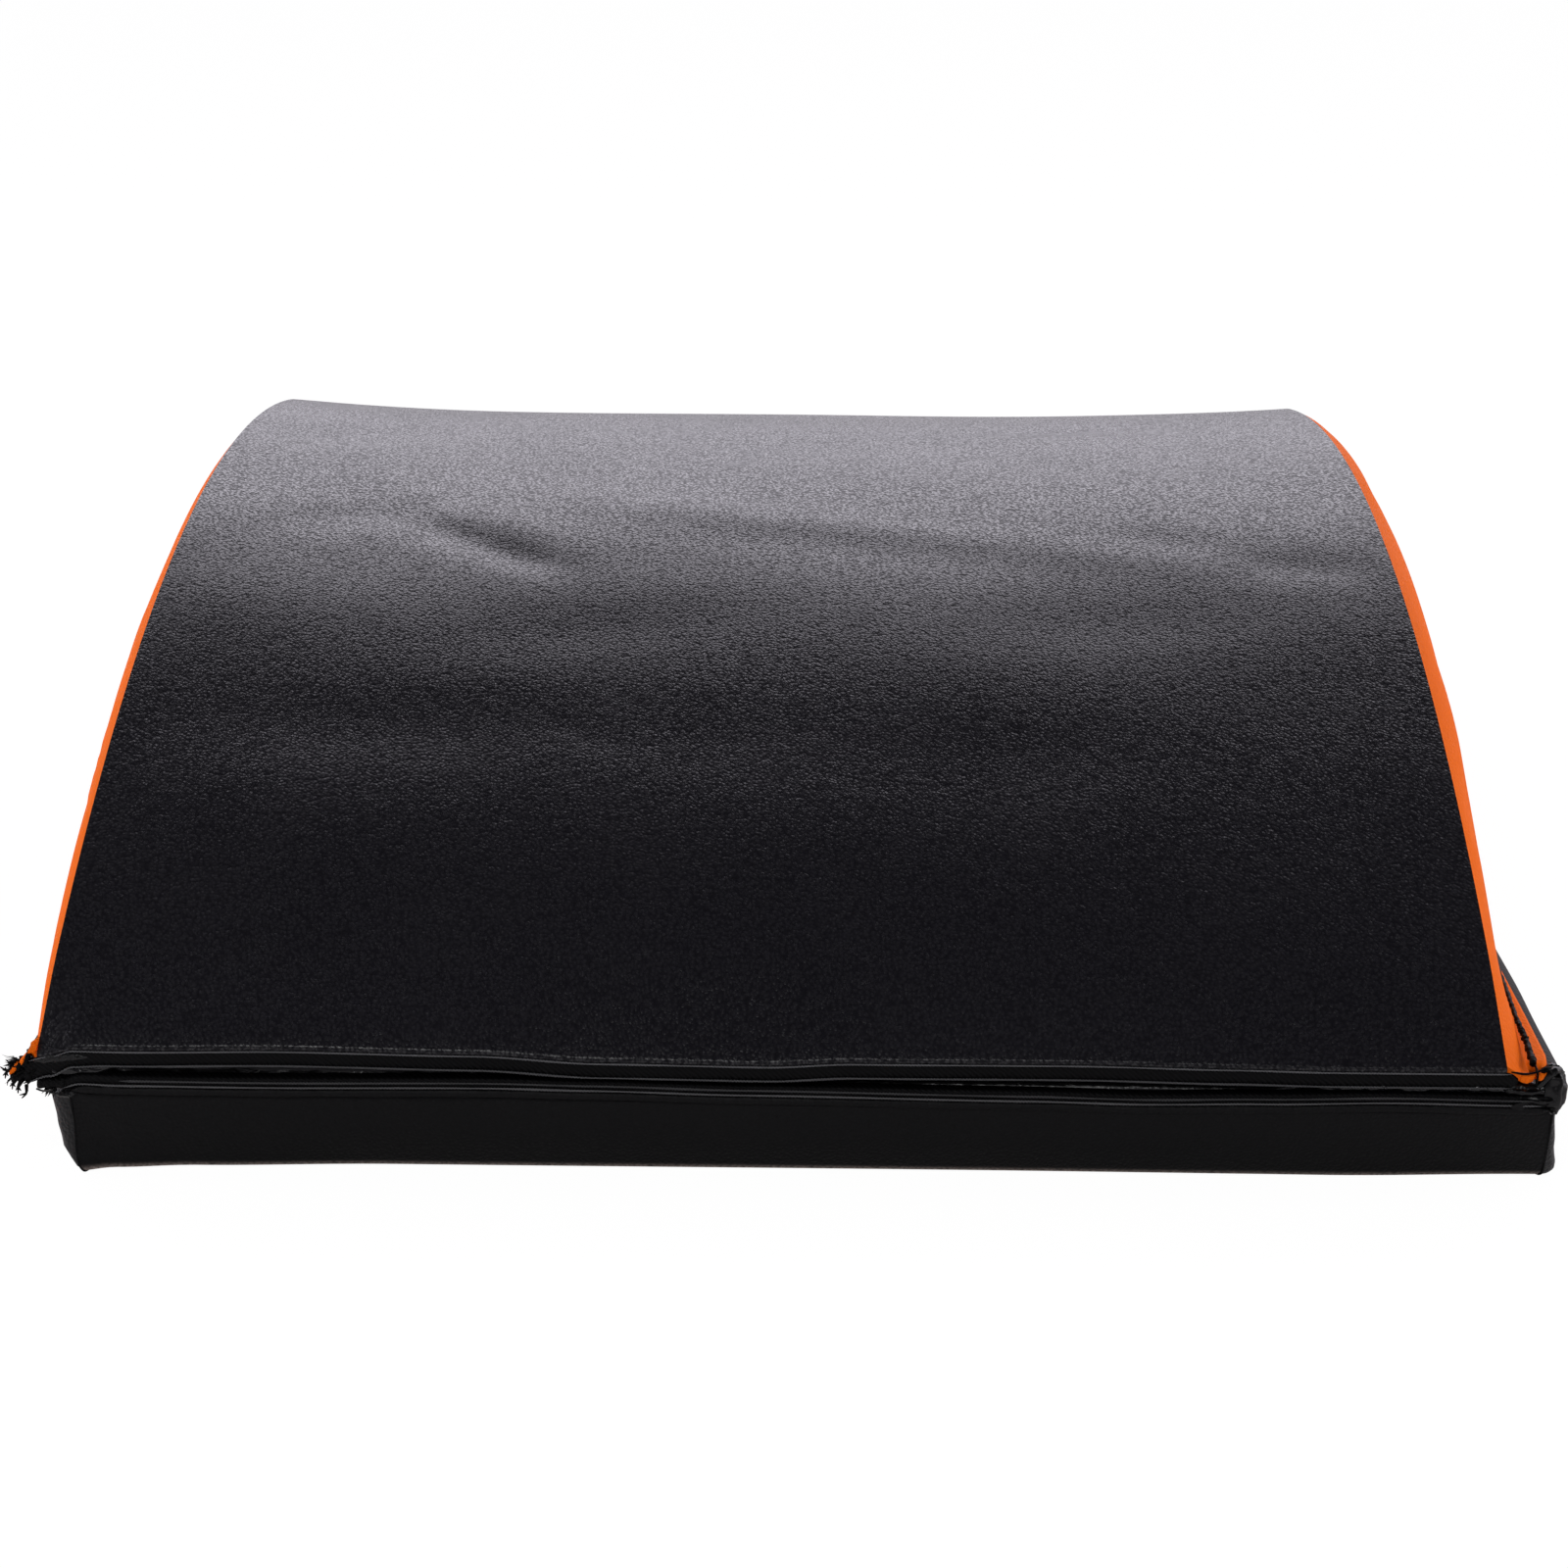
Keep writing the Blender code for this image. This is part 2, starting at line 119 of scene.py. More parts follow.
# Soft dents of the cover: place across and along, half length, half width, turn in degrees, depth.
DENTS = ((-0.086, -0.020, 0.018, 0.0065, -38, 0.0010), (-0.112, -0.010, 0.020, 0.0080, 22, 0.0005),
         (-0.068, -0.032, 0.012, 0.0050, -36, 0.0007), (-0.075, -0.010, 0.024, 0.0080, -36, -0.0004),
         (-0.092, -0.104, 0.045, 0.013, 4, 0.0008), (-0.018, -0.106, 0.030, 0.012, -6, 0.0005),
         (0.052, -0.111, 0.040, 0.013, 3, 0.0004), (0.092, -0.021, 0.022, 0.007, -14, 0.0004),
         (0.124, -0.037, 0.018, 0.007, -10, 0.0004), (0.040, -0.028, 0.060, 0.014, -14, 0.0005),
         (0.072, 0.082, 0.018, 0.007, 8, 0.0010), (-0.006, -0.008, 0.070, 0.009, -13, -0.0006),
         (0.085, -0.062, 0.050, 0.012, 6, 0.0003), (-0.045, -0.066, 0.040, 0.010, 12, 0.0003),
         (-0.120, 0.060, 0.030, 0.012, 8, 0.0008), (-0.046, -0.106, 0.012, 0.002, -32, 0.0003))
SLACK = 0.0005
SLACK_SCALE = Vector((15, 26, 10))


def dented(x, y):
    """How far the cover lies below its even arch."""
    depth = SLACK * noise.noise(Vector((x, y, 0)) * SLACK_SCALE)
    for across, along, half_length, half_width, turn, deep in DENTS:
        angle = math.radians(turn)
        u = (x - across) * math.cos(angle) + (y - along) * math.sin(angle)
        v = (y - along) * math.cos(angle) - (x - across) * math.sin(angle)
        depth += deep * math.exp(-(u / half_length) ** 2 - (v / half_width) ** 2)
    return depth


arch_form = bmesh.new()
bmesh.ops.create_grid(arch_form, x_segments=ACROSS, y_segments=ALONG, size=0.5)
cover_faces = set(arch_form.faces)
front_tangent = FRONT_Y + HEM_RADIUS * (1 - math.sin(front_slope))
rear_tangent = REAR_Y - HEM_RADIUS * (1 - math.sin(rear_slope))
for vert in arch_form.verts:
    y = front_tangent + (vert.co.y + 0.5) * (rear_tangent - front_tangent)
    vert.co = Vector((ARCH_X + vert.co.x * 2 * HALF_COVER, y, over_arch(y)))
for end, tangent, slope in ((-1, front_tangent, front_slope), (1, rear_tangent, rear_slope)):
    rim = [edge for edge in arch_form.edges if edge.is_boundary
           and all(abs(vert.co.y - tangent) < HEM_TUCK / 4 for vert in edge.verts)]
    centre = Vector((0, end * (REAR_Y - HEM_RADIUS), ROLL_Z + HEM_RADIUS))
    turned = bmesh.ops.spin(arch_form, geom=rim, cent=centre, axis=(-end, 0, 0), steps=HEM_STEPS,
                            angle=math.pi - slope, use_merge=False)
    lip = [item for item in turned["geom_last"] if isinstance(item, bmesh.types.BMEdge)]
    tuck = bmesh.ops.extrude_edge_only(arch_form, edges=lip)
    tucked = [item for item in tuck["geom"] if isinstance(item, bmesh.types.BMVert)]
    bmesh.ops.translate(arch_form, verts=tucked, vec=(0, -end * HEM_TUCK, 0))
for face in arch_form.faces:
    face.material_index = COVER if face in cover_faces else HEM


def wall_out(side, y, down, share):
    """How far a side wall stands out from the seam, this far below it."""
    tall = math.sqrt(max(over_arch(y) - WALL_FOOT_Z, 0) / (CREST_Z - WALL_FOOT_Z))
    front = 0.7 + 0.3 * min((y - FRONT_Y) / 0.025, 1)
    puff = through(SIDE_PUFF[side], y) * tall * (1 - math.exp(-down / SEAM_ROUND)) * (1 - share ** 4)
    return SIDE_LEAN[side] * front * share + puff


for side, mark in ((LEFT, LEFT_SIDE), (RIGHT, RIGHT_SIDE)):
    seam_x = ARCH_X + side * HALF_COVER
    seam = [edge for edge in arch_form.edges
            if edge.is_boundary and edge.link_faces[0].material_index == COVER
            and all(abs(vert.co.x - seam_x) < HEM_TUCK / 4 for vert in edge.verts)]
    for step in range(1, DOWN + 1):
        share = (step / DOWN) ** 1.6
        dropped = bmesh.ops.extrude_edge_only(arch_form, edges=seam)["geom"]
        seam = [item for item in dropped if isinstance(item, bmesh.types.BMEdge)]
        for vert in (item for item in dropped if isinstance(item, bmesh.types.BMVert)):
            top = over_arch(vert.co.y)
            vert.co.z = top + share * (WALL_FOOT_Z - top)
            vert.co.x = ARCH_X + side * (HALF_COVER + wall_out(side, vert.co.y, top - vert.co.z, share))
        for face in (item for item in dropped if isinstance(item, bmesh.types.BMFace)):
            face.material_index = mark
bmesh.ops.recalc_face_normals(arch_form, faces=arch_form.faces)


def middle(item):
    """Place of a point, or the middle of an edge or a face."""
    points = [item] if isinstance(item, bmesh.types.BMVert) else item.verts
    return (sum((point.co for point in points), Vector()) / len(points)).to_tuple(7)


# Spin and extrude number their points differently on each run, and the cloth solver feels it.
for items in (arch_form.verts, arch_form.edges, arch_form.faces):
    ranks = {item: rank for rank, item in enumerate(sorted(items, key=middle))}
    items.sort(key=ranks.get)
    items.index_update()


PUFF_FRAMES = 20


def puffed(form, held, pressure, cap):
    """Lets the filling push a form out; each point is held by its share and moves no further than cap."""
    mesh = bpy.data.meshes.new("puffing")
    form.verts.index_update()
    form.to_mesh(mesh)
    skin = bpy.data.objects.new("puffing", mesh)
    bpy.context.collection.objects.link(skin)
    group = skin.vertex_groups.new(name="held")
    for vert in form.verts:
        group.add([vert.index], held(vert), "REPLACE")
    cloth = skin.modifiers.new("Cloth", "CLOTH").settings
    cloth.vertex_group_mass = "held"
    cloth.use_pressure = True
    cloth.uniform_pressure_force = pressure
    cloth.effector_weights.gravity = 0
    for frame_number in range(1, PUFF_FRAMES + 1):
        bpy.context.scene.frame_set(frame_number)
    pushed = skin.evaluated_get(bpy.context.evaluated_depsgraph_get()).data
    for vert, there in zip(form.verts, pushed.vertices):
        shift = there.co - vert.co
        vert.co += shift * min(1, cap / max(shift.length, 1e-9))
    bpy.context.scene.frame_set(1)
    bpy.data.objects.remove(skin)
    bpy.data.meshes.remove(mesh)


def held_on_foam(vert):
    """Hems and feet are sewn down, seams and cover lie on the foam, and the middle of each wall is free."""
    marks = {face.material_index for face in vert.link_faces}
    if HEM in marks or any(edge.is_boundary for edge in vert.link_edges):
        return 1.0
    return 0.97 if COVER in marks else 0.0


PAD_PRESSURE, PAD_PUFF = 2.0, 0.0008
puffed(arch_form, held_on_foam, PAD_PRESSURE, PAD_PUFF)
for vert in arch_form.verts:
    x, y, z = vert.co
    across = (x - ARCH_X) / HALF_COVER
    height = max((z - ROLL_Z) / (CREST_Z - ROLL_Z), 0)
    wall = all(face.material_index in (LEFT_SIDE, RIGHT_SIDE) for face in vert.link_faces)
    if not wall:
        inside = min(max(1 - abs(across), 0) / 0.06, 1) * min(height / 0.12, 1)
        vert.co.z -= CREST_SAG * height * max(1 - across ** 4, 0) + dented(x, y) * inside
    near = max(1 - (y - FRONT_Y) / 0.022, 0) * min(max(z - WALL_FOOT_Z, 0) / 0.001, 1)
    vert.co.z += through(UPPER_WAVE, x) * near * near * (3 - 2 * near)


# The arch pad is filled by one moulded block of grey closed-cell foam. It fits the cover and the side walls
# closely and lies loose inside them.
FOAM_INSET = 0.0021


def part_of(form, *marks):
    """Copy of a form that keeps only the faces with these marks."""
    copy = form.copy()
    others = [face for face in copy.faces if face.material_index not in marks]
    bmesh.ops.delete(copy, geom=others, context="FACES")
    for face in copy.faces:
        face.material_index = 0
    return copy


class Wire:
    """An output of a shader node. Sums on wires add Math nodes, and node() adds any other node."""

    def __init__(self, tree, socket=None):
        self.tree, self.socket = tree, socket

    def node(self, kind, settings=(), inputs=(), output=0):
        made = self.tree.nodes.new("ShaderNode" + kind)
        for name, value in dict(settings).items():
            if name == "stops":
                for point, (place, colour) in zip(made.color_ramp.elements, value):
                    point.position, point.color = place, colour
            else:
                setattr(made, name, value)
        for name, value in dict(inputs).items():
            if isinstance(value, Wire):
                self.tree.links.new(value.socket, made.inputs[name])
            else:
                made.inputs[name].default_value = value
        return Wire(self.tree, made.outputs[output]) if made.outputs else None

    def maths(self, operation, *values):
        return self.node("Math", {"operation": operation}, dict(enumerate(values)))

    def __add__(self, other):
        return self.maths("ADD", self, other)

    def __sub__(self, other):
        return self.maths("SUBTRACT", self, other)

    def __rsub__(self, other):
        return self.maths("SUBTRACT", other, self)

    def __mul__(self, other):
        return self.maths("MULTIPLY", self, other)

    __radd__, __rmul__ = __add__, __mul__


def finish(name, roughness, specular):
    """New Principled material; returns it, its shader and the wire of its Object coordinates."""
    material = bpy.data.materials.new(name)
    material.use_nodes = True
    shader = material.node_tree.nodes["Principled BSDF"]
    shader.inputs["Roughness"].default_value = roughness
    shader.inputs["Specular IOR Level"].default_value = specular
    place = Wire(material.node_tree).node("TexCoord", output="Object")
    return material, shader, place


def plug(shader, **sockets):
    """Links wires into a shader's sockets; an underscore stands for a space."""
    for name, wire in sockets.items():
        wire.tree.links.new(wire.socket, shader.inputs[name.replace("_", " ")])


def foam_finish():
    """Grey closed-cell foam: fine open pores in a matt skin."""
    material, shader, place = finish("foam", 0.9, specular=0.2)
    pores = place.node("TexVoronoi", {"feature": "F1"}, {"Vector": place, "Scale": 700.0})
    stops = ((0.0, (0.03, 0.03, 0.032, 1)), (0.6, (0.07, 0.07, 0.073, 1)))
    tone = place.node("ValToRGB", {"stops": stops}, {"Fac": pores})
    bump = place.node("Bump", inputs={"Height": pores, "Strength": 0.5, "Distance": 0.0004})
    plug(shader, Base_Color=tone, Normal=bump)
    return material


def dress(name, form, material, body, slot, *nodes):
    """Turns a finished form into a piece that rides on a body and stands for CAD nodes."""
    for edge in form.edges:
        if edge.is_boundary:
            edge.smooth = False
    mesh = bpy.data.meshes.new(name)
    form.to_mesh(mesh)
    form.free()
    mesh.materials.append(material)
    mesh.polygons.foreach_set("use_smooth", [True] * len(mesh.polygons))
    item = bpy.data.objects.new(name, mesh)
    bpy.context.collection.objects.link(item)
    if body:
        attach(item, body)
    if nodes:
        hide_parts(*nodes)
    return item


def shrunk(form, inset):
    """Moves each point of a skin inwards by the inset."""
    form.normal_update()
    for vert, shift in [(vert, -inset * vert.normal) for vert in form.verts]:
        vert.co += shift


foam = foam_finish()
block = part_of(arch_form, COVER, LEFT_SIDE, RIGHT_SIDE)
shrunk(block, FOAM_INSET)
for vert in block.verts:
    vert.co.z = max(vert.co.z, WALL_FOOT_Z)
bmesh.ops.holes_fill(block, edges=[edge for edge in block.edges if edge.is_boundary])
bmesh.ops.triangulate(block, faces=[face for face in block.faces if len(face.verts) > 4])
bmesh.ops.recalc_face_normals(block, faces=block.faces)
arch_foam = dress("arch_foam_block", block, foam, "arch_pad", "foam", "arch_foam_core")

# The cover is one sheet of black grained leathercloth. It is drawn over the foam, sewn to the side walls
# along both arched edges, and turned under in a narrow hem at the front and the rear.
COVER_THICKNESS = 0.0009
BLACK = (0.0086, 0.0081, 0.0106)


def solid(item, thickness):
    """Gives a sheet its thickness, on the inner side of its modelled face."""
    wall = item.modifiers.new("Solidify", "SOLIDIFY")
    wall.thickness = thickness
    wall.offset = -1
    wall.use_even_offset = True
    return item


def leather(name, colour, roughness, specular, relief, shift=0.3, gloss=0.0, foot=None):
    """Leathercloth: rounded pebbles drawn out along one diagonal, with fine creases between them.

    Gloss coats the tops of the pebbles, and a foot colour over the lowest two millimetres paints the floor's
    reflected light.
    """
    material, shader, place = finish(name, roughness, specular)
    warp = place.node("TexNoise", inputs={"Vector": place, "Scale": 260.0, "Detail": 1.0}, output=1)
    bent = place.node("VectorMath", {"operation": "MULTIPLY_ADD"},
                      {0: warp, 1: (0.0011, 0.0011, 0.0011), 2: place})
    turned = place.node("Mapping", {"vector_type": "TEXTURE"},
                        {"Vector": bent, "Rotation": (0, 0, math.radians(-48)), "Scale": (1.16, 0.86, 1.0)})
    pebble = place.node("TexVoronoi", {"feature": "SMOOTH_F1"},
                        {"Vector": turned, "Scale": 1300.0, "Smoothness": 0.25})
    fine = place.node("TexNoise", inputs={"Vector": turned, "Scale": 1700.0, "Detail": 2.0})
    broad = place.node("TexNoise", inputs={"Vector": place, "Scale": 30.0, "Detail": 3.0})
    height = (1 - pebble) + fine * 0.5
    dark = tuple(part * (1 - shift) for part in colour)
    light = tuple(part * (1 + shift) for part in colour)
    tone = place.node("Mix", {"data_type": "RGBA"}, {0: height * 0.7, 6: (*dark, 1), 7: (*light, 1)},
                      output=2)
    if gloss:
        tops = place.node("MapRange", inputs={"Value": height, "From Min": 0.60, "From Max": 1.05,
                                              "To Max": gloss})
        shader.inputs["Coat Roughness"].default_value = roughness
        plug(shader, Coat_Weight=tops)
    # Painted highlight: the pale foot colour stands in for the white floor's light reflected onto the wall's
    # curved-under foot.
    if foot:
        up = place.node("SeparateXYZ", inputs={"Vector": place}, output="Z")
        fade = place.node("MapRange", inputs={"Value": up, "From Min": 0.0019, "From Max": 0.0002})
        painted_glow = fade * fade * height
        tone = place.node("Mix", {"data_type": "RGBA"}, {0: painted_glow, 6: tone, 7: (*foot, 1)}, output=2)
    bump = place.node("Bump", inputs={"Height": height, "Strength": 1.0, "Distance": relief})
    plug(shader, Base_Color=tone, Normal=bump, Roughness=roughness + (broad - 0.5) * 0.14)
    return material


black_leather = leather("black_leathercloth", BLACK, 0.27, 0.12, 0.00015, gloss=1.0)
cover = dress("arch_cover", part_of(arch_form, COVER, HEM), black_leather, "arch_pad", "black_leathercloth",
              "arch_top_cover")
solid(cover, COVER_THICKNESS)

# The two side walls are D-shaped panels of orange leathercloth, sewn under the cover's arched edges and
# down to the underside sheet. The foam and the folded seam allowance bow them outwards.
SIDE_THICKNESS = 0.0014
ORANGE = (0.97, 0.165, 0.0060)
orange_leather = leather("orange_leathercloth", ORANGE, 0.60, 0.04, 0.00010, 0.03)
for name, mark, node in (("left_side_panel", LEFT_SIDE, "arch_left_side"),
                         ("right_side_panel", RIGHT_SIDE, "arch_right_side")):
    panel = dress(name, part_of(arch_form, mark), orange_leather, "arch_pad", "orange_leathercloth", node)
    solid(panel, SIDE_THICKNESS)
arch_form.free()

# The arch pad's underside is one sheet of orange leathercloth under the foam. Its side margins are folded
# round and stand out past the feet of the side walls: well out on the right, and hardly on the left.
UNDERSIDE_LEFT = ARCH_X - HALF_COVER - 0.0012
UNDERSIDE_RIGHT = 0.1576
UNDERSIDE_CORNER, UNDERSIDE_NARROWS = 0.0060, 0.0022
UNDERSIDE_GAP, UNDERSIDE_RIPPLE = 0.0003, 0.0004
UNDERSIDE_Y = PANEL_HIGH.y - 0.0016
WELD = 1e-6


def skinned(around, along, place, closed=True):
    """Grid of u (around) by v (along), both 0 to 1, put on a form by place(u, v), with its ends closed."""
    form = bmesh.new()
    bmesh.ops.create_grid(form, x_segments=around, y_segments=along, size=0.5)
    for vert in form.verts:
        vert.co = place(vert.co.x + 0.5, vert.co.y + 0.5)
    if closed:
        bmesh.ops.remove_doubles(form, verts=form.verts, dist=WELD)
        bmesh.ops.holes_fill(form, edges=[edge for edge in form.edges if edge.is_boundary])
    bmesh.ops.recalc_face_normals(form, faces=form.faces)
    return form


def rounded(u, half_wide, half_high, radius):
    """Place on a rectangle with round corners, with the same number of points at each corner."""
    turn = math.tau * u + 0.13
    wide = math.copysign(half_wide - radius, math.cos(turn)) + radius * math.cos(turn)
    high = math.copysign(half_high - radius, math.sin(turn)) + radius * math.sin(turn)
    return wide, high


def on_underside(u, v):
    """Place on the underside sheet: a flat slab with round edges and rounded front and rear corners."""
    y = (2 * v - 1) * UNDERSIDE_Y
    past = max(abs(y) - (UNDERSIDE_Y - UNDERSIDE_CORNER), 0) / UNDERSIDE_CORNER
    right = UNDERSIDE_RIGHT - UNDERSIDE_NARROWS * past * past
    half_wide = (right - UNDERSIDE_LEFT) / 2
    half_high = (WALL_FOOT_Z - PANEL_LOW.z - UNDERSIDE_GAP) / 2
    wide, high = rounded(u, half_wide, half_high, half_high * 0.98)
    flange = max(wide / half_wide, 0) ** 40
    ripple = UNDERSIDE_RIPPLE * noise.noise(Vector((wide * 8, y * 70, 3))) * flange
    return Vector(((right + UNDERSIDE_LEFT) / 2 + wide, y, PANEL_LOW.z + half_high + high + ripple))


dress("underside_sheet", skinned(32, 120, on_underside), orange_leather, "arch_pad", "orange_leathercloth",
      "arch_underside_panel")

# Each long edge of the two pads is bound with a ribbed black tape, sewn on with two rows of slanted
# stitches. The arch pad's tape ends short of its corner on the right and runs out frayed on the left.
TAPE_LOW, TAPE_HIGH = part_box("arch_front_tape")
# The two lips close on each other when the mat lies open, so nothing on them stands out past this.
LIP_FRONT = 0.1902
TAPE_DEPTH = 0.0036
TAPE_ROUND = 0.0010
TAPE_WAVER = 0.0002
UPPER_LINE_Z, LOWER_LINE_Z = ROLL_Z - 0.0003, 0.0190
RIB_PITCH = 0.00066
RIB_RADIUS = 0.00032
TOP_RIB_RADIUS = 0.00027
# How far the tapes' faces and the stitches' middles lie behind the front of the lips.
TAPE_BACK, RIB_BACK = 0.0006, 0.0004
# How far below each lip's line its tape begins, how high the tape is, and where its two rows of stitches run.
UPPER_TAPE, UPPER_ROWS = (-0.0005, 0.0041), (-0.0003, 0.0029)
LOWER_TAPE, LOWER_ROWS = (-0.0016, 0.0028), (-0.0008, 0.0003)
# How far short of the left and the right end of its tape each row stops.
UPPER_ENDS, LOWER_TOP_ENDS, LOWER_ENDS = (0.0010, 0.0012), (0.0126, 0.0030), (0.0004, 0.0012)
# The arch pad's tape sags open at its left end: place along it and how much further its lower edge hangs.
TAPE_SAG = ((-0.157, 0.0016), (-0.151, 0.0011), (-0.146, 0.0004), (-0.139, 0.0))
LOWER_WAVE = ((-0.150, -0.0004), (-0.145, 0.0008), (-0.137, 0.0005), (-0.111, 0.0004), (-0.060, 0.0009),
              (-0.040, 0.0006), (-0.008, 0.0), (0.050, -0.0006), (0.073, -0.0010), (0.098, -0.0006),
              (0.126, 0.0), (0.150, -0.0003))


def tape_finish():
    """Ribbed woven tape: satin black yarn with fine cross ribs."""
    material, shader, place = finish("edge_tape", 0.5, specular=0.10)
    ribs = place.node("TexWave", {"wave_type": "BANDS", "bands_direction": "DIAGONAL"},
                      {"Vector": place, "Scale": 480.0, "Distortion": 1.5, "Detail": 1.0})
    fluff = place.node("TexNoise", inputs={"Vector": place, "Scale": 900.0, "Detail": 3.0})
    tone = place.node("Mix", {"data_type": "RGBA"},
                      {0: ribs, 6: (0.0012, 0.0012, 0.0014, 1), 7: (0.0040, 0.0040, 0.0046, 1)}, output=2)
    bump = place.node("Bump", inputs={"Height": ribs + fluff, "Strength": 0.8, "Distance": 0.00012})
    plug(shader, Base_Color=tone, Normal=bump, Roughness=0.4 + fluff * 0.2)
    return material


tape = tape_finish()


def yarn_finish(name, colour, specular=0.4):
    """Polyester sewing yarn, with a soft gloss along its twist."""
    material, shader, place = finish(name, 0.42, specular=specular)
    twist = place.node("TexNoise", inputs={"Vector": place, "Scale": 2200.0, "Detail": 2.0})
    dark = tuple(part * 0.5 for part in colour)
    tone = place.node("Mix", {"data_type": "RGBA"}, {0: twist, 6: (*dark, 1), 7: (*colour, 1)}, output=2)
    bump = place.node("Bump", inputs={"Height": twist, "Strength": 0.5, "Distance": 0.00008})
    plug(shader, Base_Color=tone, Normal=bump)
    return material


# All rows of stitches are one grey yarn. Each row's colour is set to how bright that row looks, so the
# differences between them are painted light and shade; the lower lip's upper row, in the upper lip's shade,
# is darkest.
rib_yarn = yarn_finish("rib_yarn", (0.085, 0.085, 0.09))
top_yarn = yarn_finish("top_yarn", (0.16, 0.16, 0.17))
low_yarn = yarn_finish("low_yarn", (0.13, 0.13, 0.135))
shaded_row_yarn = yarn_finish("shaded_row_yarn", (0.06, 0.06, 0.063), 0.3)
black_yarn = yarn_finish("black_yarn", (0.003, 0.003, 0.003), 0.06)


def upper_line(x):
    """Height of the arch pad's front edge along its seam."""
    return UPPER_LINE_Z + through(UPPER_WAVE, x)


def lower_line(x):
    """Height of the seat pad's front edge along the middle of its tape."""
    return LOWER_LINE_Z + through(LOWER_WAVE, x)


def rear_wave(line):
    """The same edge at the rear, where it runs more evenly."""
    return lambda x: line(0) + 0.3 * (line(-x) - line(0)) + (0.0008 if line is upper_line else 0.0002)


def tape_body(left, right, line, end, below, high, sag=0):
    """Folded tape along one edge: a rounded section that follows the edge's line."""
    def place(u, v):
        x = left + v * (right - left)
        ease = min(1, 0.35 + min(v, 1 - v) / 0.006)
        deep, tall = rounded(u, TAPE_DEPTH / 2, high / 2 * ease, TAPE_ROUND * ease)
        y = LIP_FRONT - TAPE_BACK - TAPE_DEPTH / 2 + deep + TAPE_WAVER * noise.noise(Vector((x * 60, 5, 0)))
        lowered = sag * through(TAPE_SAG, x) * (0.5 - tall / high)
        return Vector((x, end * y, line(x) - below - high / 2 + tall - lowered))
    return skinned(16, 260, place)


def rib_row(left, right, line, end, below, radius=RIB_RADIUS, sag=0):
    """One row of slanted stitches along an edge: a thin roll with a rib at each stitch."""
    ribs = round((right - left) / RIB_PITCH)

    def place(u, v):
        x = left + v * (right - left)
        turn = math.tau * u
        ease = min(1, 0.1 + min(v, 1 - v) * ribs / 4)
        rib = radius * (0.66 + 0.34 * math.cos(math.tau * v * ribs + turn)) * ease
        rib *= 1 + 0.5 * noise.noise(Vector((x * 70, below * 9000, 0)))
        z = line(x) - below - sag * through(TAPE_SAG, x)
        return Vector((x, end * (LIP_FRONT - RIB_BACK + rib * math.cos(turn)), z + rib * math.sin(turn)))
    return skinned(5, ribs * 3, place)


UPPER_RIGHT_END = 0.1493
LOWER_LEFT_END, LOWER_RIGHT_END = -0.1496, 0.1560
for name, end, line, right_end, sag, node in (
        ("front", -1, upper_line, UPPER_RIGHT_END, 1, "arch_front_tape"),
        ("rear", 1, rear_wave(upper_line), TAPE_HIGH.x, 0, "arch_rear_tape")):
    left, right = TAPE_LOW.x + UPPER_ENDS[0], right_end - UPPER_ENDS[1]
    dress(f"upper_{name}_tape", tape_body(TAPE_LOW.x, right_end, line, end, *UPPER_TAPE, sag), tape,
          "arch_pad", "edge_tape", node)
    dress(f"upper_{name}_top_stitches", rib_row(left, right, line, end, UPPER_ROWS[0], TOP_RIB_RADIUS),
          top_yarn, "arch_pad", "edge_tape")
    dress(f"upper_{name}_stitches", rib_row(left, right, line, end, UPPER_ROWS[1], RIB_RADIUS, sag), rib_yarn,
          "arch_pad", "edge_tape")
for name, end, line, node in (("front", -1, lower_line, "seat_front_tape"),
                              ("rear", 1, rear_wave(lower_line), "seat_rear_tape")):
    left, right = LOWER_LEFT_END, LOWER_RIGHT_END
    dress(f"lower_{name}_tape", tape_body(left, right, line, end, *LOWER_TAPE), tape, "seat_pad",
          "edge_tape", node)
    for row, (start, stop), below, yarn in (("top_stitches", LOWER_TOP_ENDS, LOWER_ROWS[0], shaded_row_yarn),
                                            ("stitches", LOWER_ENDS, LOWER_ROWS[1], low_yarn)):
        dress(f"lower_{name}_{row}", rib_row(left + start, right - stop, line, end, below), yarn, "seat_pad",
              "edge_tape")

# The seat pad is a flat boxed cushion: four walls of matt black leathercloth, a floor sheet and an inner
# sheet, sewn round a slab of foam. Its corners stand out and its edges draw in between them.
FRONT_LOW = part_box("seat_front_wall")[0]
LEFT_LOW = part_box("seat_left_wall")[0]
RIGHT_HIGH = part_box("seat_right_wall")[1]
SEAT_X = (LEFT_LOW.x + RIGHT_HIGH.x) / 2
HALF_SEAT = (RIGHT_HIGH.x - LEFT_LOW.x) / 2
SEAT_Y = -FRONT_LOW.y
LEDGE_Z = 0.0164
INNER_EDGE_Z = 0.0192
INNER_X, INNER_Y = HALF_SEAT - 0.0018, SEAT_Y - 0.0030
INNER_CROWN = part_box("seat_inner_panel")[1].z - INNER_EDGE_Z - 0.0003
CORNER_RADIUS = 0.0036
BOTTOM_ROUND = 0.0016
WIDE_CUTS, LONG_CUTS, WALL_LEVELS = 72, 84, 11
FLOOR, INNER, SEAT_FRONT, SEAT_REAR, SEAT_LEFT, SEAT_RIGHT = 0, 1, 2, 3, 4, 5
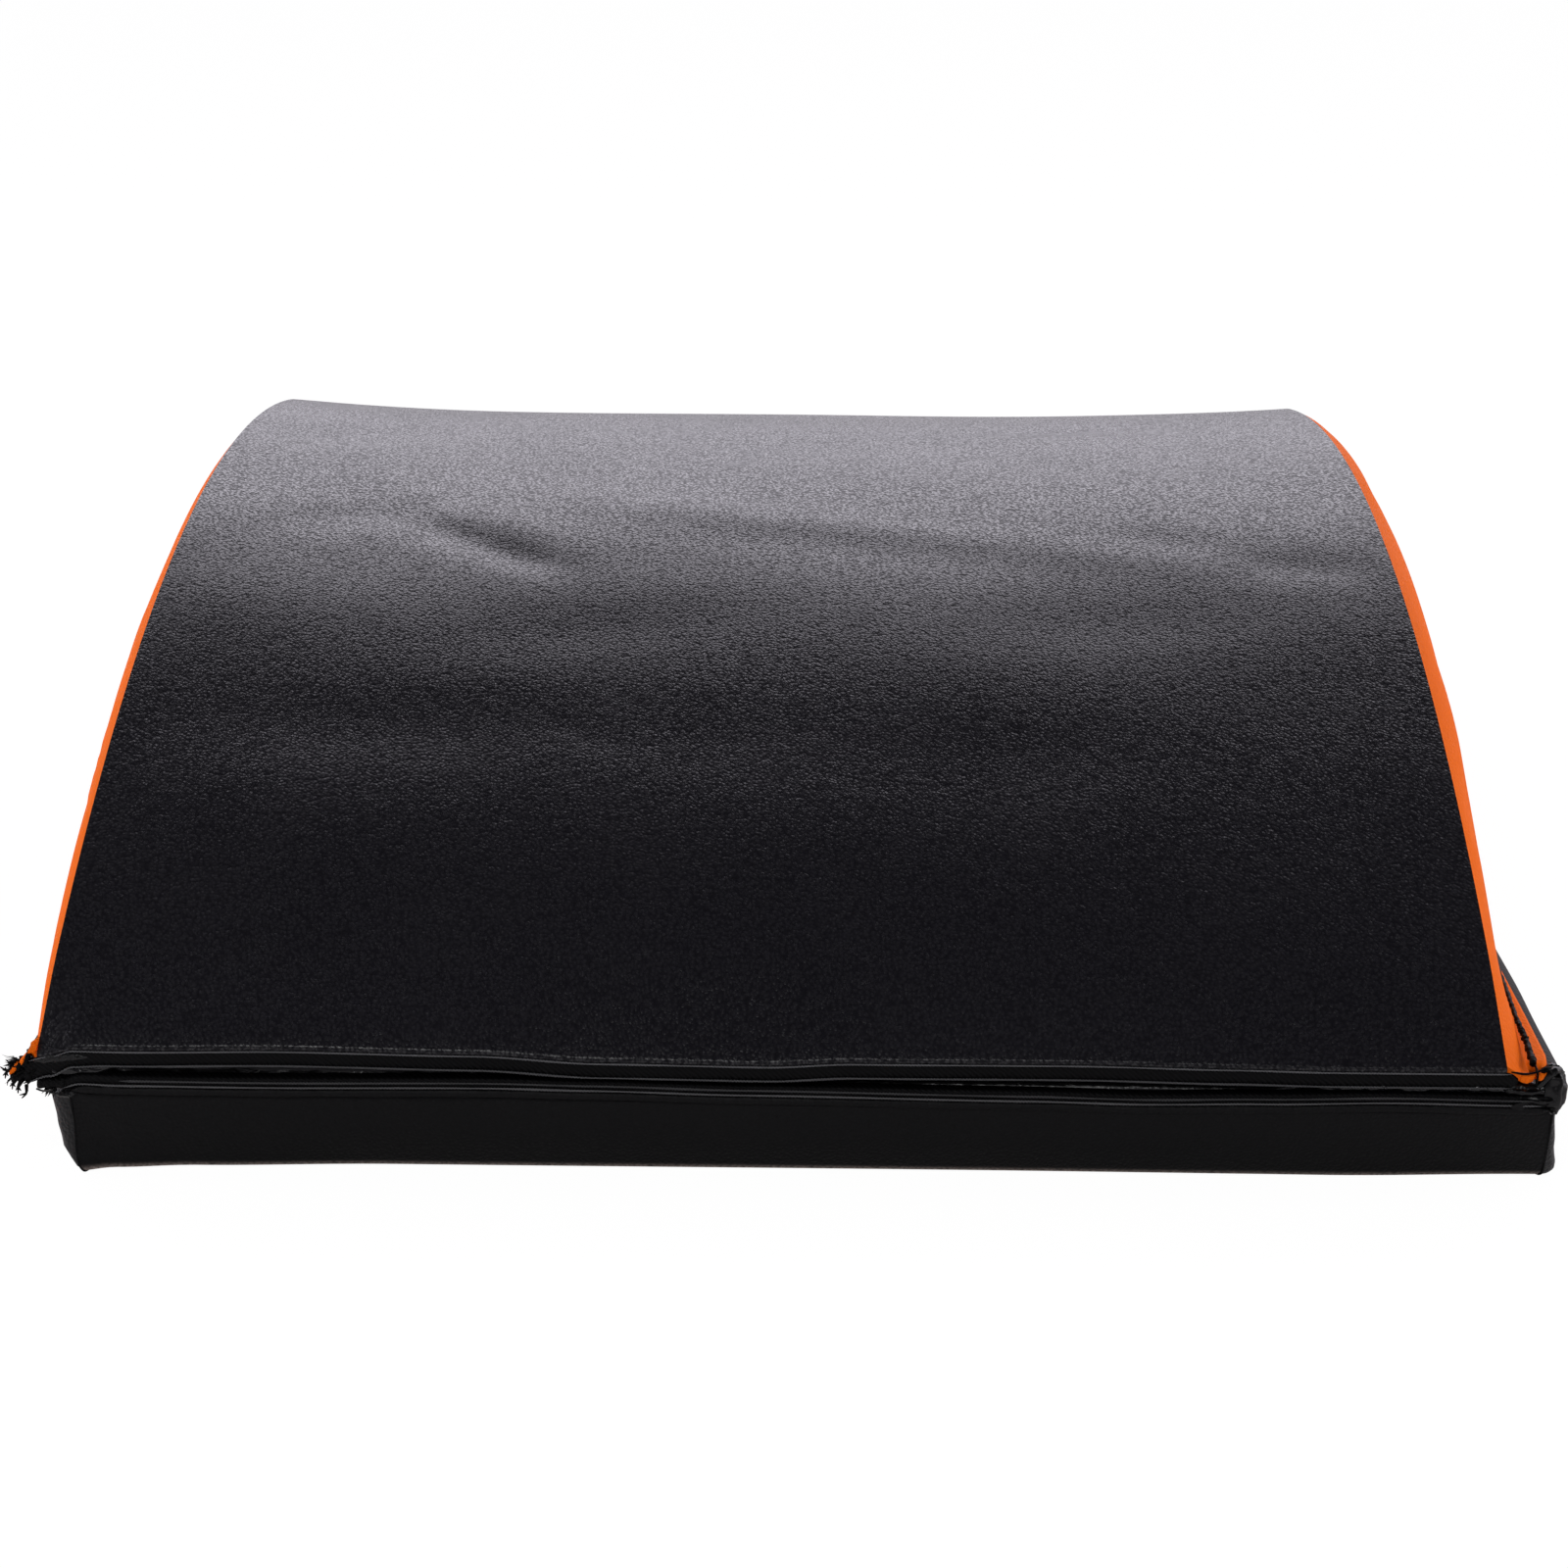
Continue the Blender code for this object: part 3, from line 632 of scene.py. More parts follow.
# How far the front wall's foot stands behind its top, from left to right, and how far each side wall
# bulges out past its corner seams at each height.
FRONT_FOOT = ((-0.147, -0.0026), (-0.139, -0.0008), (-0.123, 0.0004), (-0.082, 0.0018), (0.040, 0.0022),
              (0.112, 0.0020), (0.157, 0.0036))
SIDE_BULGE = {LEFT: ((0.0, 0.0), (0.0016, 0.0019), (0.0050, 0.0036), (0.0100, 0.0045), (0.0164, 0.0049)),
              RIGHT: ((0.0, 0.0034), (0.0020, 0.0034), (0.0070, 0.0024), (0.0164, 0.0013))}
# How far the front corner seams lean out at each height.
SEAM_LEAN = {LEFT: ((0.0, -0.0018), (0.0040, -0.0009), (0.0100, -0.0008), (0.0164, -0.0003)),
             RIGHT: ((0.0, 0.0003), (0.0164, 0.0))}
DRAWN_IN = 0.0024
SEAM_INSET = 0.0003

seat_form = bmesh.new()
bmesh.ops.create_cube(seat_form, size=2)
for axis, cuts in enumerate((WIDE_CUTS, LONG_CUTS, WALL_LEVELS)):
    across = [edge for edge in seat_form.edges
              if abs(abs((edge.verts[0].co - edge.verts[1].co)[axis]) - 2) < WELD]
    bmesh.ops.subdivide_edges(seat_form, edges=across, cuts=cuts, use_grid_fill=True)
for face in seat_form.faces:
    x, y, z = face.normal
    face.material_index = (FLOOR if z < -0.5 else INNER if z > 0.5 else SEAT_FRONT if y < -0.5
                           else SEAT_REAR if y > 0.5 else SEAT_LEFT if x < -0.5 else SEAT_RIGHT)
for vert in seat_form.verts:
    a, b, c = vert.co
    share = (c + 1) / 2
    top = c > 1 - 1 / WALL_LEVELS
    side = RIGHT if a > 0 else LEFT
    half_x, half_y = (INNER_X, INNER_Y) if top else (HALF_SEAT - SEAM_INSET, SEAT_Y)
    y = half_y * math.sin(math.pi / 2 * b)
    reach_x, reach_y = math.sin(math.pi / 2 * abs(a)), abs(y) / half_y
    turn = max(1 - (half_y - abs(y)) / CORNER_RADIUS, 0)
    round_in = 1 - math.sqrt(1 - turn * turn)
    if top:
        x = side * reach_x * (half_x - CORNER_RADIUS * round_in)
        crown = (1 - (x / half_x) ** 8) * (1 - reach_y ** 8)
        vert.co = Vector((SEAT_X + x, y, INNER_EDGE_Z + INNER_CROWN * max(crown, 0) ** 0.6))
        continue
    z = LEDGE_Z * (1 - math.cos(math.pi * min(share * (WALL_LEVELS + 1) / WALL_LEVELS, 1))) / 2
    low = max(1 - z / BOTTOM_ROUND, 0)
    edge_in = BOTTOM_ROUND * (1 - math.sqrt(1 - low * low)) * 0.7
    foot = (1 - z / LEDGE_Z) ** 1.5
    out = through(SIDE_BULGE[side], z) * (1 - round_in) - DRAWN_IN * foot * (1 - reach_y ** 4) - edge_in
    if y < 0:
        out += through(SEAM_LEAN[side], z) * reach_y ** 4
    x = side * reach_x * (half_x + out * reach_x ** 5)
    front_in = through(FRONT_FOOT, SEAT_X + x) if y < 0 else DRAWN_IN * (1 - reach_x ** 4)
    y *= 1 - (front_in * foot + edge_in) * reach_y ** 5 / half_y
    vert.co = Vector((SEAT_X + x, y, z))
bmesh.ops.recalc_face_normals(seat_form, faces=seat_form.faces)


def held_on_slab(vert):
    """Seams, ledge and floor stay where they are, and the walls and the inner sheet are free."""
    marks = {face.material_index for face in vert.link_faces}
    if len(marks) > 1 or FLOOR in marks or (INNER not in marks and vert.co.z > LEDGE_Z * 0.9):
        return 1.0
    return 0.9 if INNER in marks else 0.0


SEAT_PRESSURE, SEAT_PUFF = 1.5, 0.0007
puffed(seat_form, held_on_slab, SEAT_PRESSURE, SEAT_PUFF)
for vert in seat_form.verts:
    vert.co.z = min(max(vert.co.z, 0), INNER_EDGE_Z + INNER_CROWN)

SEAT_BLACK = (0.0032, 0.0031, 0.0036)
# Pale colour painted on the seat walls' lowest two millimetres: a painted reflection of the floor's light,
# not a colour of the leathercloth.
PAINTED_FOOT_GLOW = (0.70, 0.58, 0.52)
seat_leather = leather("seat_leathercloth", SEAT_BLACK, 0.52, 0.17, 0.00016)
wall_leather = leather("seat_wall_leathercloth", SEAT_BLACK, 0.52, 0.17, 0.00016, foot=PAINTED_FOOT_GLOW)
# The side walls are the same black leathercloth as the other walls: glossier here, and given a lighter colour
# that paints in the light falling on the sides.
side_leather = leather("seat_side_leathercloth", (0.0055, 0.0053, 0.0060), 0.36, 0.36, 0.00022)
SEAT_THICKNESS = 0.0012
SLAB_INSET, SLAB_FLOOR = 0.0019, 0.0015
for name, mark, cloth, node in (("floor_sheet", FLOOR, seat_leather, "seat_floor_panel"),
                                ("inner_sheet", INNER, seat_leather, "seat_inner_panel"),
                                ("front_wall", SEAT_FRONT, wall_leather, "seat_front_wall"),
                                ("rear_wall", SEAT_REAR, wall_leather, "seat_rear_wall"),
                                ("left_wall", SEAT_LEFT, side_leather, "seat_left_wall"),
                                ("right_wall", SEAT_RIGHT, side_leather, "seat_right_wall")):
    sheet = dress(name, part_of(seat_form, mark), cloth, "seat_pad", "black_leathercloth", node)
    solid(sheet, SEAT_THICKNESS)
slab = seat_form.copy()
shrunk(slab, SLAB_INSET)
for vert in slab.verts:
    vert.co.z = max(vert.co.z, SLAB_FLOOR)
slab_piece = dress("seat_foam_slab", slab, foam, "seat_pad", "foam", "seat_foam_core")

# Along its lower edge the seat pad's tape is finished with a smooth turned roll of the wall's leathercloth,
# and a sewn groove runs right under it. At each corner the walls meet in a thin raised seam.
ROLL_RADIUS, ROLL_BELOW, ROLL_BACK = 0.00095, 0.0016, 0.0004
ROLL_ENDS = (0.0008, 0.0010)
SEAM_RIDGE, SEAM_PROUD = 0.00022, 0.0001


def pale_finish():
    """Cut edge of leathercloth, where the grey backing shows."""
    material, shader, place = finish("cut_edge", 0.6, specular=0.4)
    fibres = place.node("TexNoise", inputs={"Vector": place, "Scale": 1400.0, "Detail": 3.0})
    stops = ((0.40, (0.012, 0.012, 0.012, 1)), (0.75, (0.13, 0.125, 0.12, 1)))
    tone = place.node("ValToRGB", {"stops": stops}, {"Fac": fibres})
    bump = place.node("Bump", inputs={"Height": fibres, "Strength": 0.6, "Distance": 0.0001})
    plug(shader, Base_Color=tone, Normal=bump)
    return material


cut_edge = pale_finish()


def routed(points, share):
    """Place on a smooth curve through points, at a share of the way."""
    along = min(max(share, 0), 1) * (len(points) - 1)
    k = min(int(along), len(points) - 2)
    t = along - k
    before, start = Vector(points[max(k - 1, 0)]), Vector(points[k])
    end, after = Vector(points[k + 1]), Vector(points[min(k + 2, len(points) - 1)])
    return 0.5 * (2 * start + (end - before) * t + (2 * before - 5 * start + 4 * end - after) * t * t
                  + (3 * start - before - 3 * end + after) * t ** 3)


def tube(points, radius, around=8, steps=24, flat=1.0):
    """Round or flattened tube along a smooth curve; radius is a number or a function of u and v."""
    def place(u, v):
        centre = routed(points, v)
        ahead = (routed(points, v + 0.01) - routed(points, v - 0.01)).normalized()
        level = ahead.cross(Vector((0.1, 0.2, 1))).normalized()
        size = radius(u, v) if callable(radius) else radius
        turn = math.tau * u
        return centre + size * (math.cos(turn) * level + flat * math.sin(turn) * level.cross(ahead))
    return skinned(around, steps, place)


def seam_roll(end, line, left, right):
    """Smooth roll along an edge of the seat pad."""
    def place(u, v):
        x = left + v * (right - left)
        ease = min(1, 0.3 + min(v, 1 - v) / 0.01)
        size = ROLL_RADIUS * (1 + 0.12 * noise.noise(Vector((x * 90, end, 0)))) * ease
        turn = math.tau * u
        y = end * (SEAT_Y - ROLL_BACK + size * math.cos(turn))
        return Vector((x, y, line(x) - ROLL_BELOW + size * math.sin(turn)))
    return skinned(10, 220, place)


for name, end, line in (("front", -1, lower_line), ("rear", 1, rear_wave(lower_line))):
    left, right = SEAT_X - HALF_SEAT + ROLL_ENDS[0], SEAT_X + HALF_SEAT - ROLL_ENDS[1]
    dress(f"{name}_edge_roll", seam_roll(end, line, left, right), seat_leather, "seat_pad",
          "black_leathercloth")
for name, side_x, side_y in (("front_left", -1, -1), ("front_right", 1, -1), ("rear_left", -1, 1),
                             ("rear_right", 1, 1)):
    corner = [vert.co for vert in seat_form.verts
              if {SEAT_FRONT if side_y < 0 else SEAT_REAR, SEAT_LEFT if side_x < 0 else SEAT_RIGHT}
              <= {face.material_index for face in vert.link_faces} and vert.co.z < LEDGE_Z + WELD]
    proud = Vector((side_x, side_y, 0)) * SEAM_PROUD
    route = [place + proud for place in sorted(corner, key=lambda place: place.z)]
    route[0].z += SEAM_RIDGE
    ridge = tube(route, lambda u, v: SEAM_RIDGE * (1 + 0.5 * noise.noise(Vector((v * 9, u, side_x)))),
                 6, 60)
    dress(f"{name}_corner_seam", ridge, seat_leather, "seat_pad", "black_leathercloth")
seat_form.free()

# Down both sides of the seat pad its edge is a piping of two ridges: black leathercloth folded over two
# cords and sewn in between the wall and the inner sheet.
PIPING_LOW, PIPING_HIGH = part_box("seat_right_piping")
# The right piping has been squeezed out from under the arch pad.
PIPING_OUT = {LEFT: 0.0, RIGHT: 0.0014}
PIPING_CORNER = 0.0100
PIPING_PAST, PIPING_WAVER = 0.0001, 0.0003


def on_piping(side, u, v):
    """Place on a piping: a flat web that swells into two ridges at its outer edge."""
    turn = math.tau * u
    y = (2 * v - 1) * (PIPING_HIGH.y + PIPING_PAST)
    wave = PIPING_WAVER * noise.noise(Vector((side * 3, y * 40, 0)))
    half_high = (PIPING_HIGH.z - PIPING_LOW.z) / 2
    out, high = math.cos(turn), math.sin(turn)
    pinch = 1 - 0.30 * math.exp(-(high / 0.22) ** 2) * (1 if out > 0 else 0)
    wide = (PIPING_HIGH.x - PIPING_LOW.x) / 2
    centre = (PIPING_HIGH.x + PIPING_LOW.x) / 2 - SEAT_X
    ease = min(1, 0.4 + min(v, 1 - v) / 0.01)
    corner = max(1 - (PIPING_HIGH.y - abs(y)) / PIPING_CORNER, 0)
    centre -= PIPING_CORNER * (1 - math.sqrt(max(1 - corner * corner, 0)))
    x = centre + math.copysign(abs(out) ** 0.7, out) * wide * pinch * ease + wave
    z = (PIPING_LOW.z + half_high) + math.copysign(abs(high) ** 0.8, high) * half_high * ease + wave
    return Vector((SEAT_X + side * (x + PIPING_OUT[side]), y, z))


piping_leather = leather("piping_leathercloth", (0.0075, 0.0073, 0.0080), 0.55, 0.15, 0.00008)
for name, side, node in (("left_piping", LEFT, "seat_left_piping"),
                         ("right_piping", RIGHT, "seat_right_piping")):
    dress(name, skinned(24, 160, lambda u, v, side=side: on_piping(side, u, v)), piping_leather, "seat_pad",
          "black_leathercloth", node)

# The hinge is one strip of thin glossy black vinyl, sewn under the arch pad's front edge and on the seat
# pad's front edge. It is creased along the fold and crinkled, most of all towards its right end.
STRIP_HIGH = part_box("hinge_upper_leaf")[1]
LEAF_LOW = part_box("hinge_lower_leaf")[0]
STRIP_THICKNESS = 0.0005
STRIP_TOP_Z, STRIP_FOOT_Z = STRIP_HIGH.z + 0.0020, LEAF_LOW.z - 0.0013
STRIP_LEFT, STRIP_RIGHT = -0.1505, 0.1490
STRIP_Y = -0.1868
STRIP_CRUMPLE = 0.0026
CRINKLE_OUT, CRINKLE_UP = 0.0010, 0.0006
# How far forward the strip's crease stands along the mat: sunk into the gap, and crumpled out at the ends.
STRIP_FORWARD = ((-0.150, STRIP_CRUMPLE), (-0.142, 0.0018), (-0.136, -0.0015), (0.100, -0.0015),
                 (0.113, 0.0024), (0.148, STRIP_CRUMPLE))


def on_strip(u, v):
    """Place on the hinge strip: from the arch pad over the crease to the seat pad, with its crinkles."""
    x = STRIP_LEFT + v * (STRIP_RIGHT - STRIP_LEFT)
    middle = math.sin(math.pi * u) ** 2
    forward = through(STRIP_FORWARD, x)
    rough = max(forward, 0) / STRIP_CRUMPLE
    crinkle = noise.noise(Vector((x * 300, u * 3, 0))) + 0.6 * noise.noise(Vector((x * 700, u * 7, 7)))
    y = STRIP_Y - (forward + CRINKLE_OUT * crinkle * (0.15 + 0.85 * rough)) * middle
    z = STRIP_TOP_Z + (STRIP_FOOT_Z - STRIP_TOP_Z) * u + CRINKLE_UP * crinkle * middle * rough
    return Vector((x, y, z))


def vinyl_finish():
    """Thin glossy black vinyl with fine crinkles."""
    material, shader, place = finish("hinge_vinyl", 0.2, specular=0.5)
    crinkle = place.node("TexNoise", inputs={"Vector": place, "Scale": 420.0, "Detail": 3.0,
                                             "Distortion": 1.2})
    tone = place.node("Mix", {"data_type": "RGBA"},
                      {0: crinkle, 6: (0.002, 0.002, 0.0023, 1), 7: (0.005, 0.005, 0.006, 1)}, output=2)
    bump = place.node("Bump", inputs={"Height": crinkle, "Strength": 0.35, "Distance": 0.0003})
    plug(shader, Base_Color=tone, Normal=bump, Roughness=0.10 + crinkle * 0.2)
    return material


vinyl = vinyl_finish()
strip_form = skinned(30, 420, on_strip, closed=False)
bmesh.ops.solidify(strip_form, geom=list(strip_form.faces), thickness=STRIP_THICKNESS)
strip = dress("hinge_strip", strip_form, vinyl, None, "edge_tape", "hinge_upper_leaf", "hinge_lower_leaf")
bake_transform(strip)

# Front right corner of the arch pad: a coarse black seam joins the wall's foot to the underside sheet and
# ends in a knot, and the sheet's orange corner shows between the tape's end and a lump of folded tape.
SIGHT_FALL = 0.4


def set_back(form):
    """Moves a form back behind the front of the lips, and down, along the camera's line of sight."""
    over = max(-LIP_FRONT - min(vert.co.y for vert in form.verts), 0)
    bmesh.ops.translate(form, verts=form.verts, vec=(0, over, -SIGHT_FALL * over))
    return form


def gathered(forms):
    """One form made of several, each set back."""
    whole = bmesh.new()
    for form in forms:
        set_back(form)
        mesh = bpy.data.meshes.new("gathering")
        form.to_mesh(mesh)
        form.free()
        whole.from_mesh(mesh)
        bpy.data.meshes.remove(mesh)
    return whole


seam_points = [(0.1567, -0.1300, 0.0263), (0.1551, -0.1530, 0.0264), (0.1540, -0.1684, 0.0265),
               (0.1537, -0.1760, 0.0266), (0.1528, -0.1870, 0.0267)]
seam_thread = tube(seam_points, lambda u, v: (0.00042 + 0.00034 * v * v) * (1 + 0.8 * noise.noise(
    Vector((v * 60, u * 3, 1)))), 8, 120)
cross_thread = tube([(0.1478, -0.1899, 0.0262), (0.1505, -0.1906, 0.0261), (0.1530, -0.1905, 0.0266),
                     (0.1548, -0.1900, 0.0272), (0.1560, -0.1890, 0.0268), (0.1562, -0.1878, 0.0258)],
                    0.00024)
divider = tube([(0.1530, -0.1880, 0.0268), (0.1531, -0.1903, 0.0258), (0.1529, -0.1906, 0.0236)], 0.00026)
knot = tube([(0.1550 + 0.0009 * math.cos(k * 1.9), -0.1900 + 0.0006 * math.sin(k * 1.3),
              0.0262 + 0.0008 * math.sin(k * 1.9)) for k in range(9)], 0.00030, 6, 60)
dress("corner_threads", gathered([seam_thread, cross_thread, divider, knot]), black_yarn, "arch_pad",
      "edge_tape")


def on_tab(points, half_wide, thick, u, v):
    """Place on a soft folded tab of cloth along a few points."""
    wide, high = rounded(u, half_wide, thick, thick * 0.95)
    ends = math.sqrt(max(1 - (2 * v - 1) ** 8, 0.02))
    ripple = 0.00018 * noise.noise(Vector((v * 6, u * 4, half_wide * 9000)))
    return routed(points, v) + Vector((wide * 0.25, high + ripple, wide)) * ends


wide_tab = [(0.1497, -0.1893, 0.0250), (0.1512, -0.1897, 0.0247), (0.1527, -0.1893, 0.0250)]
narrow_tab = [(0.1530, -0.1893, 0.0251), (0.1540, -0.1897, 0.0252), (0.1550, -0.1890, 0.0256)]
corner_tabs = [skinned(16, 24, lambda u, v: on_tab(wide_tab, 0.0011, 0.0009, u, v)),
               skinned(16, 24, lambda u, v: on_tab(narrow_tab, 0.0009, 0.0009, u, v))]
dress("right_corner_tabs", gathered(corner_tabs), orange_leather, "arch_pad", "orange_leathercloth")


def crumpled(points, size, seed, flat=0.8, steps=40):
    """Roll of tape folded over itself, with irregular creases."""
    return tube(points, lambda u, v: size * (1 + 0.35 * noise.noise(Vector((v * 7, u * 2.5, seed))))
                * min(1, 0.35 + min(v, 1 - v) / 0.08), 14, steps, flat)


def on_lump(u, v):
    """Place on the lump of folded tape: an upright egg, creased all over."""
    turn, rise = math.tau * u, math.pi * (v - 0.5)
    out = Vector((math.cos(turn) * math.cos(rise), math.sin(turn) * math.cos(rise), math.sin(rise)))
    crease = abs(noise.noise(out * 1.5 + Vector((2, 5, 1)))) + 0.3 * abs(noise.noise(out * 3.1))
    return LUMP_CENTRE + LUMP_SIZE * out * (1.10 - 0.45 * crease)


LUMP_CENTRE = Vector((0.1571, -0.1866, 0.0206))
LUMP_SIZE = Vector((0.0031, 0.0036, 0.0055))
corner_lump = [skinned(40, 28, on_lump),
               crumpled([(0.1536, -0.1894, 0.0226), (0.1552, -0.1898, 0.0252), (0.1570, -0.1890, 0.0262),
                         (0.1580, -0.1872, 0.0250)], 0.0010, 1),
               crumpled([(0.1470, -0.1886, 0.0222), (0.1510, -0.1890, 0.0219), (0.1550, -0.1888, 0.0220)],
                        0.0018, 2),
               crumpled([(0.1500, -0.1892, 0.0198), (0.1540, -0.1898, 0.0199), (0.1572, -0.1890, 0.0200),
                         (0.1588, -0.1862, 0.0200)], 0.0014, 3)]
folded_tape = leather("folded_tape", (0.0022, 0.0021, 0.0024), 0.30, 0.32, 0.00005)
dress("right_corner_lump", gathered(corner_lump), folded_tape, "seat_pad", "edge_tape")

# Front left corner of the arch pad: the underside sheet's orange corner runs out past the cover, two turns
# of thread bind it to the tape, and the tape's cut end hangs in ragged tufts.
left_tab = skinned(16, 40, lambda u, v: on_tab(
    [(-0.1534, -0.1893, 0.0284), (-0.1552, -0.1900, 0.0264), (-0.1568, -0.1903, 0.0246),
     (-0.1594, -0.1905, 0.0224)], 0.0011, 0.0008, u, v))
dress("left_corner_tab", set_back(left_tab), orange_leather, "arch_pad", "orange_leathercloth")
left_roll = tube([(-0.1538, -0.1892, 0.0250), (-0.1505, -0.1897, 0.0255), (-0.1460, -0.1897, 0.0258),
                  (-0.1405, -0.1893, 0.0260), (-0.1330, -0.1889, 0.0258)],
                 lambda u, v: (0.0014 - 0.0008 * v) * (1 + 0.25 * noise.noise(Vector((v * 6, u * 2, 4)))),
                 14, 60)
dress("left_hem_roll", set_back(left_roll), side_leather, "arch_pad", "black_leathercloth")


def binding(x, z, lean):
    """Two turns of thread round the left tab."""
    points = [(x + 0.0010 * math.cos(turn) * lean + 0.00012 * turn / math.pi,
               -LIP_FRONT + 0.0011 * math.sin(turn), z + 0.0016 * math.cos(turn))
              for turn in (k * math.pi / 3 for k in range(13))]
    return tube(points, 0.00034, 6, 72)


TUFTS = 58
fray = random.Random(7)
tufts = [binding(-0.1558, 0.0256, 0.5), binding(-0.1575, 0.0240, 0.5)]
for k in range(TUFTS):
    along = fray.random()
    root = Vector((-0.1562 - 0.0026 * fray.random(), -0.1900 + 0.0018 * fray.random(),
                   0.0205 + 0.0046 * along))
    heading = Vector((-0.6 - 0.5 * along, 0.3 * (fray.random() - 0.5), -1.1 + 1.3 * along)).normalized()
    length = 0.0010 + 0.0022 * fray.random()
    bend = Vector((fray.random() - 0.5, fray.random() - 0.5, fray.random() - 0.7)) * 0.0009
    thick = 0.00012 + 0.00028 * fray.random() ** 2
    points = [root, root + heading * length * 0.5 + bend, root + heading * length]
    tufts.append(tube(points, lambda u, v, thick=thick: thick * (1.02 - v), 5, 6))
# Longer strands of the cut end: their tips, across and up, all in line with the mat's front.
STRANDS = ((-0.1607, 0.0226), (-0.1603, 0.0206), (-0.1591, 0.0181), (-0.1580, 0.0172), (-0.1573, 0.0161),
           (-0.1562, 0.0188), (-0.1594, 0.0242), (-0.1553, 0.0197), (-0.1587, 0.0192))
for tip_x, tip_z in STRANDS:
    root = Vector((max(tip_x + 0.0012, -0.1590), -0.1896, min(tip_z + 0.0030, 0.0226)))
    tip = Vector((tip_x, -0.1898, tip_z))
    bend = (root + tip) / 2 + Vector((fray.random() - 0.5, 0, fray.random() - 0.5)) * 0.0009
    for branch in (Vector((0, 0, 0)), Vector((0.0006, 0.0002, 0.0005)), Vector((-0.0004, 0, 0.0007))):
        tufts.append(tube([root, bend, tip + branch], lambda u, v: 0.00042 * (1.05 - 0.8 * v), 5, 8))
dress("left_corner_tufts", gathered(tufts), black_yarn, "arch_pad", "edge_tape")
low_fold = [(-0.1540, -0.1893, 0.0218), (-0.1568, -0.1897, 0.0214), (-0.1592, -0.1895, 0.0210)]
high_fold = [(-0.1545, -0.1890, 0.0240), (-0.1570, -0.1893, 0.0236), (-0.1592, -0.1893, 0.0230)]
ragged = [crumpled(low_fold, 0.0015, 5), crumpled(high_fold, 0.0009, 6)]
dress("left_corner_tape_end", gathered(ragged), tape, "arch_pad", "edge_tape")
flap_route = [(-0.1470, -0.1880, 0.0200), (-0.1502, -0.1888, 0.0196), (-0.1542, -0.1890, 0.0198)]
flap = [crumpled(flap_route, 0.0021, 8, 0.7)]
for k in range(12):
    root = Vector((-0.1502 - 0.0022 * fray.random(), -0.1893, 0.0176 + 0.0008 * fray.random()))
    tip = root + Vector((-0.0008 * fray.random() - 0.0003, 0, -0.0008 - 0.0016 * fray.random()))
    flap.append(tube([root, (root + tip) / 2, tip], lambda u, v: 0.00030 * (1.02 - v), 5, 6))
dress("left_corner_flap", gathered(flap), tape, "seat_pad", "edge_tape")
pale = [tube([(-0.1541, -0.1900, 0.0184), (-0.1525, -0.1902, 0.0180), (-0.1508, -0.1900, 0.0182)], 0.00022),
        tube([(-0.1508, -0.1896, 0.0172), (-0.1492, -0.1900, 0.0167), (-0.1474, -0.1902, 0.0166)], 0.00024)]
dress("left_corner_cut_edges", gathered(pale), cut_edge, "seat_pad", "edge_tape")

# The picture: a camera at the photograph's angle, a pale floor and soft studio light. The wall behind the
# mat is bright up to head height, and the ceiling and the photographer's side are dark.
STAND = (0.0043, -0.6965, 0.2907)
PITCH, YAW, ROLL = math.radians(21.84), math.radians(0.58), math.radians(0.41)
LENS, SENSOR = 64.0, 36.0
camera = bpy.data.objects.new("camera", bpy.data.cameras.new("camera"))
camera.data.lens = LENS
camera.data.sensor_width = SENSOR
camera.data.clip_start = 0.01
camera.matrix_world = (Matrix.Translation(STAND) @ Matrix.Rotation(YAW, 4, "Z")
                       @ Matrix.Rotation(math.radians(90) - PITCH, 4, "X") @ Matrix.Rotation(ROLL, 4, "Z"))
bpy.context.collection.objects.link(camera)
bpy.context.scene.camera = camera

FLOOR_RADIUS = 8.0
FLOOR_COLOUR = (0.80, 0.79, 0.78, 1)
floor_form = bmesh.new()
bmesh.ops.create_circle(floor_form, cap_ends=True, segments=96, radius=FLOOR_RADIUS)
mesh = bpy.data.meshes.new("floor")
floor_form.to_mesh(mesh)
floor_form.free()
floor = bpy.data.objects.new("floor", mesh)
bpy.context.collection.objects.link(floor)
paint = bpy.data.materials.new("floor")
paint.use_nodes = True
mesh.materials.append(paint)
paint.node_tree.nodes.clear()
start = Wire(paint.node_tree)
seen = start.node("LightPath", output="Is Camera Ray")
matt = start.node("BsdfDiffuse", inputs={"Color": FLOOR_COLOUR})
glow = start.node("Emission", inputs={"Color": (1, 1, 1, 1), "Strength": 1.05})
